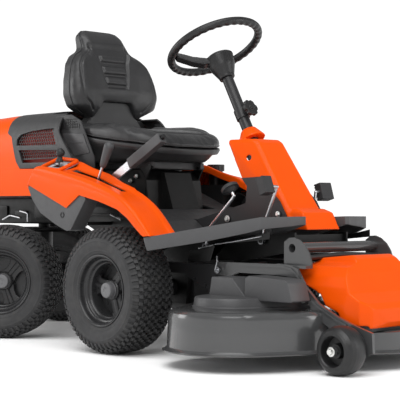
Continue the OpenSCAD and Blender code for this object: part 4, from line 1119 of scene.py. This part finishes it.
def pressing(shrink=0.0):
    """The deck's round middle lobe, solid; shrunk, it is the tool that hollows it from below."""
    r, low, high = LOBE_R - shrink, LOBE_LOW, LOBE_HIGH
    bottom, roof = low - (6 if shrink else 0), high - shrink * 1.1
    profile = [(0, bottom), (r - 1, bottom), (r - 2, low + 60), (r - 3, high - 22), (r - 6, high - 11),
               (r - 14, high - 4 - shrink), (r - 26, roof), (0, roof)]
    return turned("lobe", profile, upright(*SPINDLES[-1]), 96)


def rim_flange():
    """The flared lower rim of the middle lobe."""
    r, low = LOBE_R, LOBE_LOW
    return turned("flange", [(r - 3, low), (r + 14, low), (r + 14, low + 3), (r + 11, low + 5), (r + 2, low + 8),
                             (r - 3, low + 12)], upright(*SPINDLES[-1]), 96, closed=True)


def circle(x, y, r, count=48):
    return [(x + r * math.cos(t), y + r * math.sin(t)) for t in (2 * math.pi * k / count for k in range(count))]


def side_lobe(side, shrink=0.0):
    """The side blade's chamber, drawn out toward the middle, with a flared lower rim."""
    d = shrink
    outline = hull(circle(507, 325, 206, 96) + circle(572, 225, 190, 96))
    levels = [(50, -14), (53, -14), (56, -7), (62, 0), (112, 2), (150, 3), (162, 7), (169, 15), (172, 28), (172, 130)]
    if d:
        levels = [(43, 2 + d), (112, 3 + d), (150, 4 + d), (161 - d, 8 + d), (168 - d, 16 + d), (171 - d, 30 + d),
                  (171 - d, 130)]
    return stepped("side_lobe", outline, levels, side)


def deck():
    """The pressed shell, hollow from below, with the spindle housings on it."""
    wall = 3.4
    whole = side_lobe(-1)
    combined(whole, "UNION", side_lobe(1), pressing(),
             slab("plate", rounded(oblong(340, 640, -200, 200)[::-1], 2), LOBE_LOW, LOBE_HIGH, "xy"), rim_flange())
    cut(whole, side_lobe(-1, wall), side_lobe(1, wall), pressing(wall),
        slab("inner", oblong(343.5, 640, -200, 200)[::-1], 42, 109.5, "xy"),
        *[turned("bore", [(0, 40), (13, 40), (13, 260), (0, 260)], upright(*at), 24) for at in SPINDLES])
    applied(add_bevel(whole, 1.2, 2, 50))
    housings = []
    for at, low, high in zip(SPINDLES, (121, 121, 100), (176, 176, 148)):
        profile = [(13, low), (30, low), (32, low + 3), (32, high - 4), (28, high), (13, high)]
        housings.append(turned("housing", profile, upright(*at), 40, closed=True))
    finished(joined("deck_pressing", [whole] + housings), NODES["deck_shell"]["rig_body"], "deck_paint",
             ("deck_shell",), 30)


def belt_covers():
    """A rounded tier over each side belt, with the two long boxes beside the arms."""
    parts = []
    for side in (-1, 1):
        outline = hull(circle(484, 318, 116) + circle(556, 205, 96))
        levels = [(172, -4), (177, -4), (180, 0), (199, 2), (204, 5), (206, 12), (206, 60)]
        parts.append(stepped("tier", outline, levels, side))
        for line in ([(395, 198), (407, 261), (491, 261), (556, 198)],
                     [(543, 198), (547, 262), (560, 269), (702, 262), (714, 254), (732, 198)]):
            parts.append(add_bevel(slab("box", rounded(line, 6, 3), side * 250, side * 330), 5, 3, 40))
    finished(joined("belt_cover_mouldings", parts), NODES["belt_covers"]["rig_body"], "grey_plastic",
             ("belt_covers",), 34, COVER_GREY)


deck()
belt_covers()


def under_body_shade():
    """Dark panels inside the wheel arches and under the hood: partly the walls there, partly black sheets that are
    painted shade among the dark parts.
    """
    arch = [(-405, 450), (-405, 545), (-330, 552), (-250, 524), (-125, 472), (20, 442), (88, 418), (150, 380),
            (150, 352), (90, 330), (-120, 330), (-330, 420)]
    slot_wall = [(-232, 560), (-232, 580), (-120, 561), (-32, 537), (28, 518), (28, 498)]
    # outlines in X and Z, and the stretch of Y that each fills
    panels = [(rounded(arch, 10), 231, 235),
              (rounded([(-1090, 409), (-1090, 503), (-420, 503), (-420, 409)], 8), 208, 214),
              ([(-1090, 409), (-1090, 415), (-420, 415), (-420, 409)], 150, 214),
              ([(-426, 412), (-426, 503), (-420, 503), (-420, 412)], 150, 214)]
    panels += [(rounded([(x, 430), (x, 430 + z), (x + w, 430 + z), (x + w, 430)], 4), 214, 222)
               for x, w, z in ((-980, 60, 30), (-880, 90, 44), (-740, 70, 26), (-620, 100, 50), (-500, 50, 34))]
    panels += [([(212, 300), (308, 300), (330, 353), (560, 374), (560, 398), (500, 386), (380, 360), (212, 332)],
                236, 239), (slot_wall, 363.5, 366), (slot_wall, 334, 336.5)]
    parts = [add_bevel(slab("panel", outline, side * y0, side * y1), 1.5, 2)
             for side in (-1, 1) for outline, y0, y1 in panels]
    # painted shade: black sheets close the gaps between the body and the wheels where shade falls
    finished(joined("under_body_shade_panels", parts), "chassis", "black_paint", (), 35)


under_body_shade()


COLUMN_TILT = math.radians(28.5)
COLUMN_DIR = Vector((-math.sin(COLUMN_TILT), 0, math.cos(COLUMN_TILT)))


def small_parts():
    """Bolts, rods, a hose and dark inserts that finish the machine."""
    cover_body = NODES["deck_cover"]["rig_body"]
    deck_body = NODES["deck_arms"]["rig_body"]
    for side in (-1, 1):
        hex_bolt(f"arm_bolt_{side}", P(690, side * 235, 204), (0, side, 0), 16, deck_body, 8)
        hex_bolt(f"wheel_bolt_{side}", P(866, side * 318, 70), (0, side, 0), 17, deck_body, 9)
        hex_bolt(f"tunnel_bolt_{side}", P(462, side * 94, 448), (0, side, 0), 12)
        hex_bolt(f"base_bolt_{side}", P(240, side * 94, 432), (0, side, 0), 14)
        plug = turned(f"cowl_plug_{side}", [(0, 0), (9.5, 0), (9.5, 5), (0, 5)],
                      axis_frame(P(318, side * 66, 628), (0, side, 0)), 32)
        dress_piece(plug, "chassis", "black_plastic")
    seal = turned("column_seal", [(19.1, -9), (24.6, -9), (24.6, -3), (22, -1.5), (19.1, -3)],
                  axis_frame(P(243, 0, 723), COLUMN_DIR), 48, closed=True)
    dress_piece(seal, "chassis", "black_plastic")
    hose = tube("deck_hose", [P(640, y, 322 + 3 * math.cos(y / 60)) for y in range(-176, 177, 16)], 8, 14)
    dress_piece(hose, cover_body, "black_plastic")
    outline = [(756, -186), (836, -186), (872, -150), (874, 0), (872, 150), (836, 186), (756, 186)]
    plinth = stepped("cover_plinth", rounded(outline, 22), [(113.5, 2), (116, 0), (136, 0), (138, 3), (138, 60)], 1)
    dress_piece(plinth, cover_body, "black_plastic")
    links = ((-226, [(-703, 455), (-657, 447), (-657, 416)], 2.6, 10, 8),
             (-226, [(-812, 423), (-765, 439), (-703, 430)], 2.6, 10, 8),
             (-243, [(261, 340), (342, 356), (421, 366), (532, 383)], 2.0, 8, 12),
             (-248, [(-160, 445), (-104, 428)], 4.0, 12, 0))
    silver = [tube("link", [P(x, y, z) for x, z in points], *look) for y, points, *look in links]
    dress_piece(joined("silver_links", silver), "chassis", "bare_steel")
    rod = tube("black_link_rod", [P(-331, -248, 442), P(-160, -248, 445)], 3.4, 10)
    dress_piece(rod, "chassis", "black_plastic")


small_parts()

# ---------------------------------------------------------------- the rest of the frame
moulded("cowl", "orange_plastic", 2.8, 14)
moulded("deck_cover", "orange_plastic", 2.8, 14)
moulded("lift_grip", "grey_plastic", 1.6, 8, COVER_GREY)
moulded("steering_hub", "black_plastic", 2.2, 10)
moulded("column_knob", "black_plastic", 1.2, 6)
moulded("height_knob", "grey_plastic", 1.5, 8, COVER_GREY)
moulded("forward_pad", "pad_rubber", 1.2, 4)
moulded("brake_pad", "pad_rubber", 1.2, 4)
for cad_name, cad_slot, cad_edge in (
        ("main_frame", "black_paint", 1.2), ("front_axle", "dark_paint", 3), ("rear_axle", "dark_paint", 3),
        ("body_base", "dark_plastic", 1.5), ("ignition_key", "black_plastic", 0.8),
        ("fuel_tank", "black_plastic", 3), ("tunnel", "dark_paint", 1.2), ("steering_column", "dark_paint", 1.0),
        ("forward_pedal", "bare_steel", 0.6), ("reverse_pedal", "bare_steel", 0.6),
        ("reverse_pad", "pad_rubber", 1.2), ("brake_pedal", "bare_steel", 0.6), ("lift_lever", "bare_steel", 1.0),
        ("lift_button", "black_plastic", 0.6), ("height_lever", "bare_steel", 0.5), ("lift_arms", "dark_paint", 1.5),
        ("deck_arms", "deck_paint", 1.5), ("right_latch_pin", "bare_steel", 0.5), ("left_latch_pin", "bare_steel", 0.5),
        ("right_support_wheel", "black_plastic", 1.5), ("left_support_wheel", "black_plastic", 1.5),
        ("right_blade", "bare_steel", 0.8), ("middle_blade", "bare_steel", 0.8),
        ("left_blade", "bare_steel", 0.8), ("brake_cable", "bare_steel", 0.2)):
    machined(cad_name, cad_slot, cad_edge)


def steering_ring():
    """The rim of the steering wheel, with finger waves underneath."""
    lo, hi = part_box("steering_ring")
    bar_r, steps, sides, waves, wave_mm = 14.0, 216, 20, 36, 2.6
    ring_r = (hi.y - lo.y) / 2 / MM - bar_r
    place = axis_frame((lo + hi) / 2, COLUMN_DIR, (0, 1, 0))
    rows = []
    for turn in (2 * math.pi * k / steps for k in range(steps)):
        row = []
        for around in (2 * math.pi * j / sides for j in range(sides)):
            under = max(0.0, -math.sin(around)) ** 1.4
            r = bar_r - 0.2 - wave_mm * under * (0.5 + 0.5 * math.cos(waves * turn))
            out = ring_r + r * math.cos(around)
            row.append(place @ Vector((out * math.cos(turn), out * math.sin(turn), r * math.sin(around))))
        rows.append(row)
    obj = sheet("steering_ring_grip", rows, 60, wrap_columns=True, wrap_rows=True)
    dress_piece(obj, "steering_wheel", "black_plastic", ("steering_ring",))


steering_ring()

# ---------------------------------------------------------------- studio
def studio():
    """A white floor and a bright horizon, under a dimmer sky with a broad sun and a few softboxes."""
    floor = make_object("studio_floor", [(x, y, 0) for x, y in oblong(-30, 30, -30, 30)], [(0, 1, 2, 3)])
    floor.data.materials.append(finish("studio_white", (0.93, 0.93, 0.93), 0.8, grain=0.0, mottle=0.01))
    horizon = sheet("studio_horizon", [[(x, y, z) for x, y in circle(0, 0, 16, 64)] for z in (0, 5)], wrap_columns=True)
    glow = bpy.data.materials.new("studio_glow")
    glow.use_nodes = True
    for key, value in (("Base Color", (0, 0, 0, 1)), ("Emission Color", (1, 1, 1, 1)), ("Emission Strength", 1.05)):
        glow.node_tree.nodes["Principled BSDF"].inputs[key].default_value = value
    horizon.data.materials.append(glow)
    scene = bpy.context.scene
    scene.view_settings.view_transform = "Standard"
    scene.world = bpy.data.worlds.new("studio")
    scene.world.use_nodes = True
    sky = scene.world.node_tree.nodes["Background"]
    sky.inputs["Color"].default_value = (1, 1, 1, 1)
    sky.inputs["Strength"].default_value = 0.33

    def lamp(name, kind, at, power, size=(1, 1), aim=(0.2, 0, 0.4)):
        light = bpy.data.lights.new(name, kind)
        light.energy = power
        if kind == "AREA":
            light.shape = "RECTANGLE"
            light.size, light.size_y = size
        else:
            light.angle = math.radians(55)
        obj = bpy.data.objects.new(name, light)
        obj.location = at
        obj.rotation_euler = (Vector(aim) - Vector(at)).to_track_quat("-Z", "Y").to_euler()
        scene.collection.objects.link(obj)

    lamp("sun", "SUN", (1.2, -2.0, 5.0), 2.3)
    lamp("key", "AREA", (2.6, -3.0, 2.6), 45, (2.0, 1.2))
    lamp("rear_side", "AREA", (-3.0, -2.4, 1.8), 35, (1.4, 2.0))
    lamp("front_side", "AREA", (4.0, 1.6, 1.8), 35, (1.4, 2.0))


def camera():
    """At the photograph's viewing angle and distance."""
    azimuth, elevation = math.radians(45.9406), math.radians(-0.2538)
    focal_px, sensor, frame_px = 1303.46, 36.0, 400
    ahead = Vector((-math.sin(azimuth) * math.cos(elevation), math.cos(azimuth) * math.cos(elevation),
                    -math.sin(elevation)))
    right = Vector((math.cos(azimuth), math.sin(azimuth), 0))
    up = right.cross(ahead)
    data = bpy.data.cameras.new("camera")
    data.lens = focal_px * sensor / frame_px
    data.sensor_width = sensor
    data.clip_end = 100
    obj = bpy.data.objects.new("camera", data)
    turn = Matrix((right, up, -ahead)).transposed().to_4x4()
    obj.matrix_world = Matrix.Translation(P(3204.83, -3085.62, 474.19)) @ turn
    bpy.context.scene.collection.objects.link(obj)
    bpy.context.scene.camera = obj


studio()
camera()
bpy.context.view_layer.update()
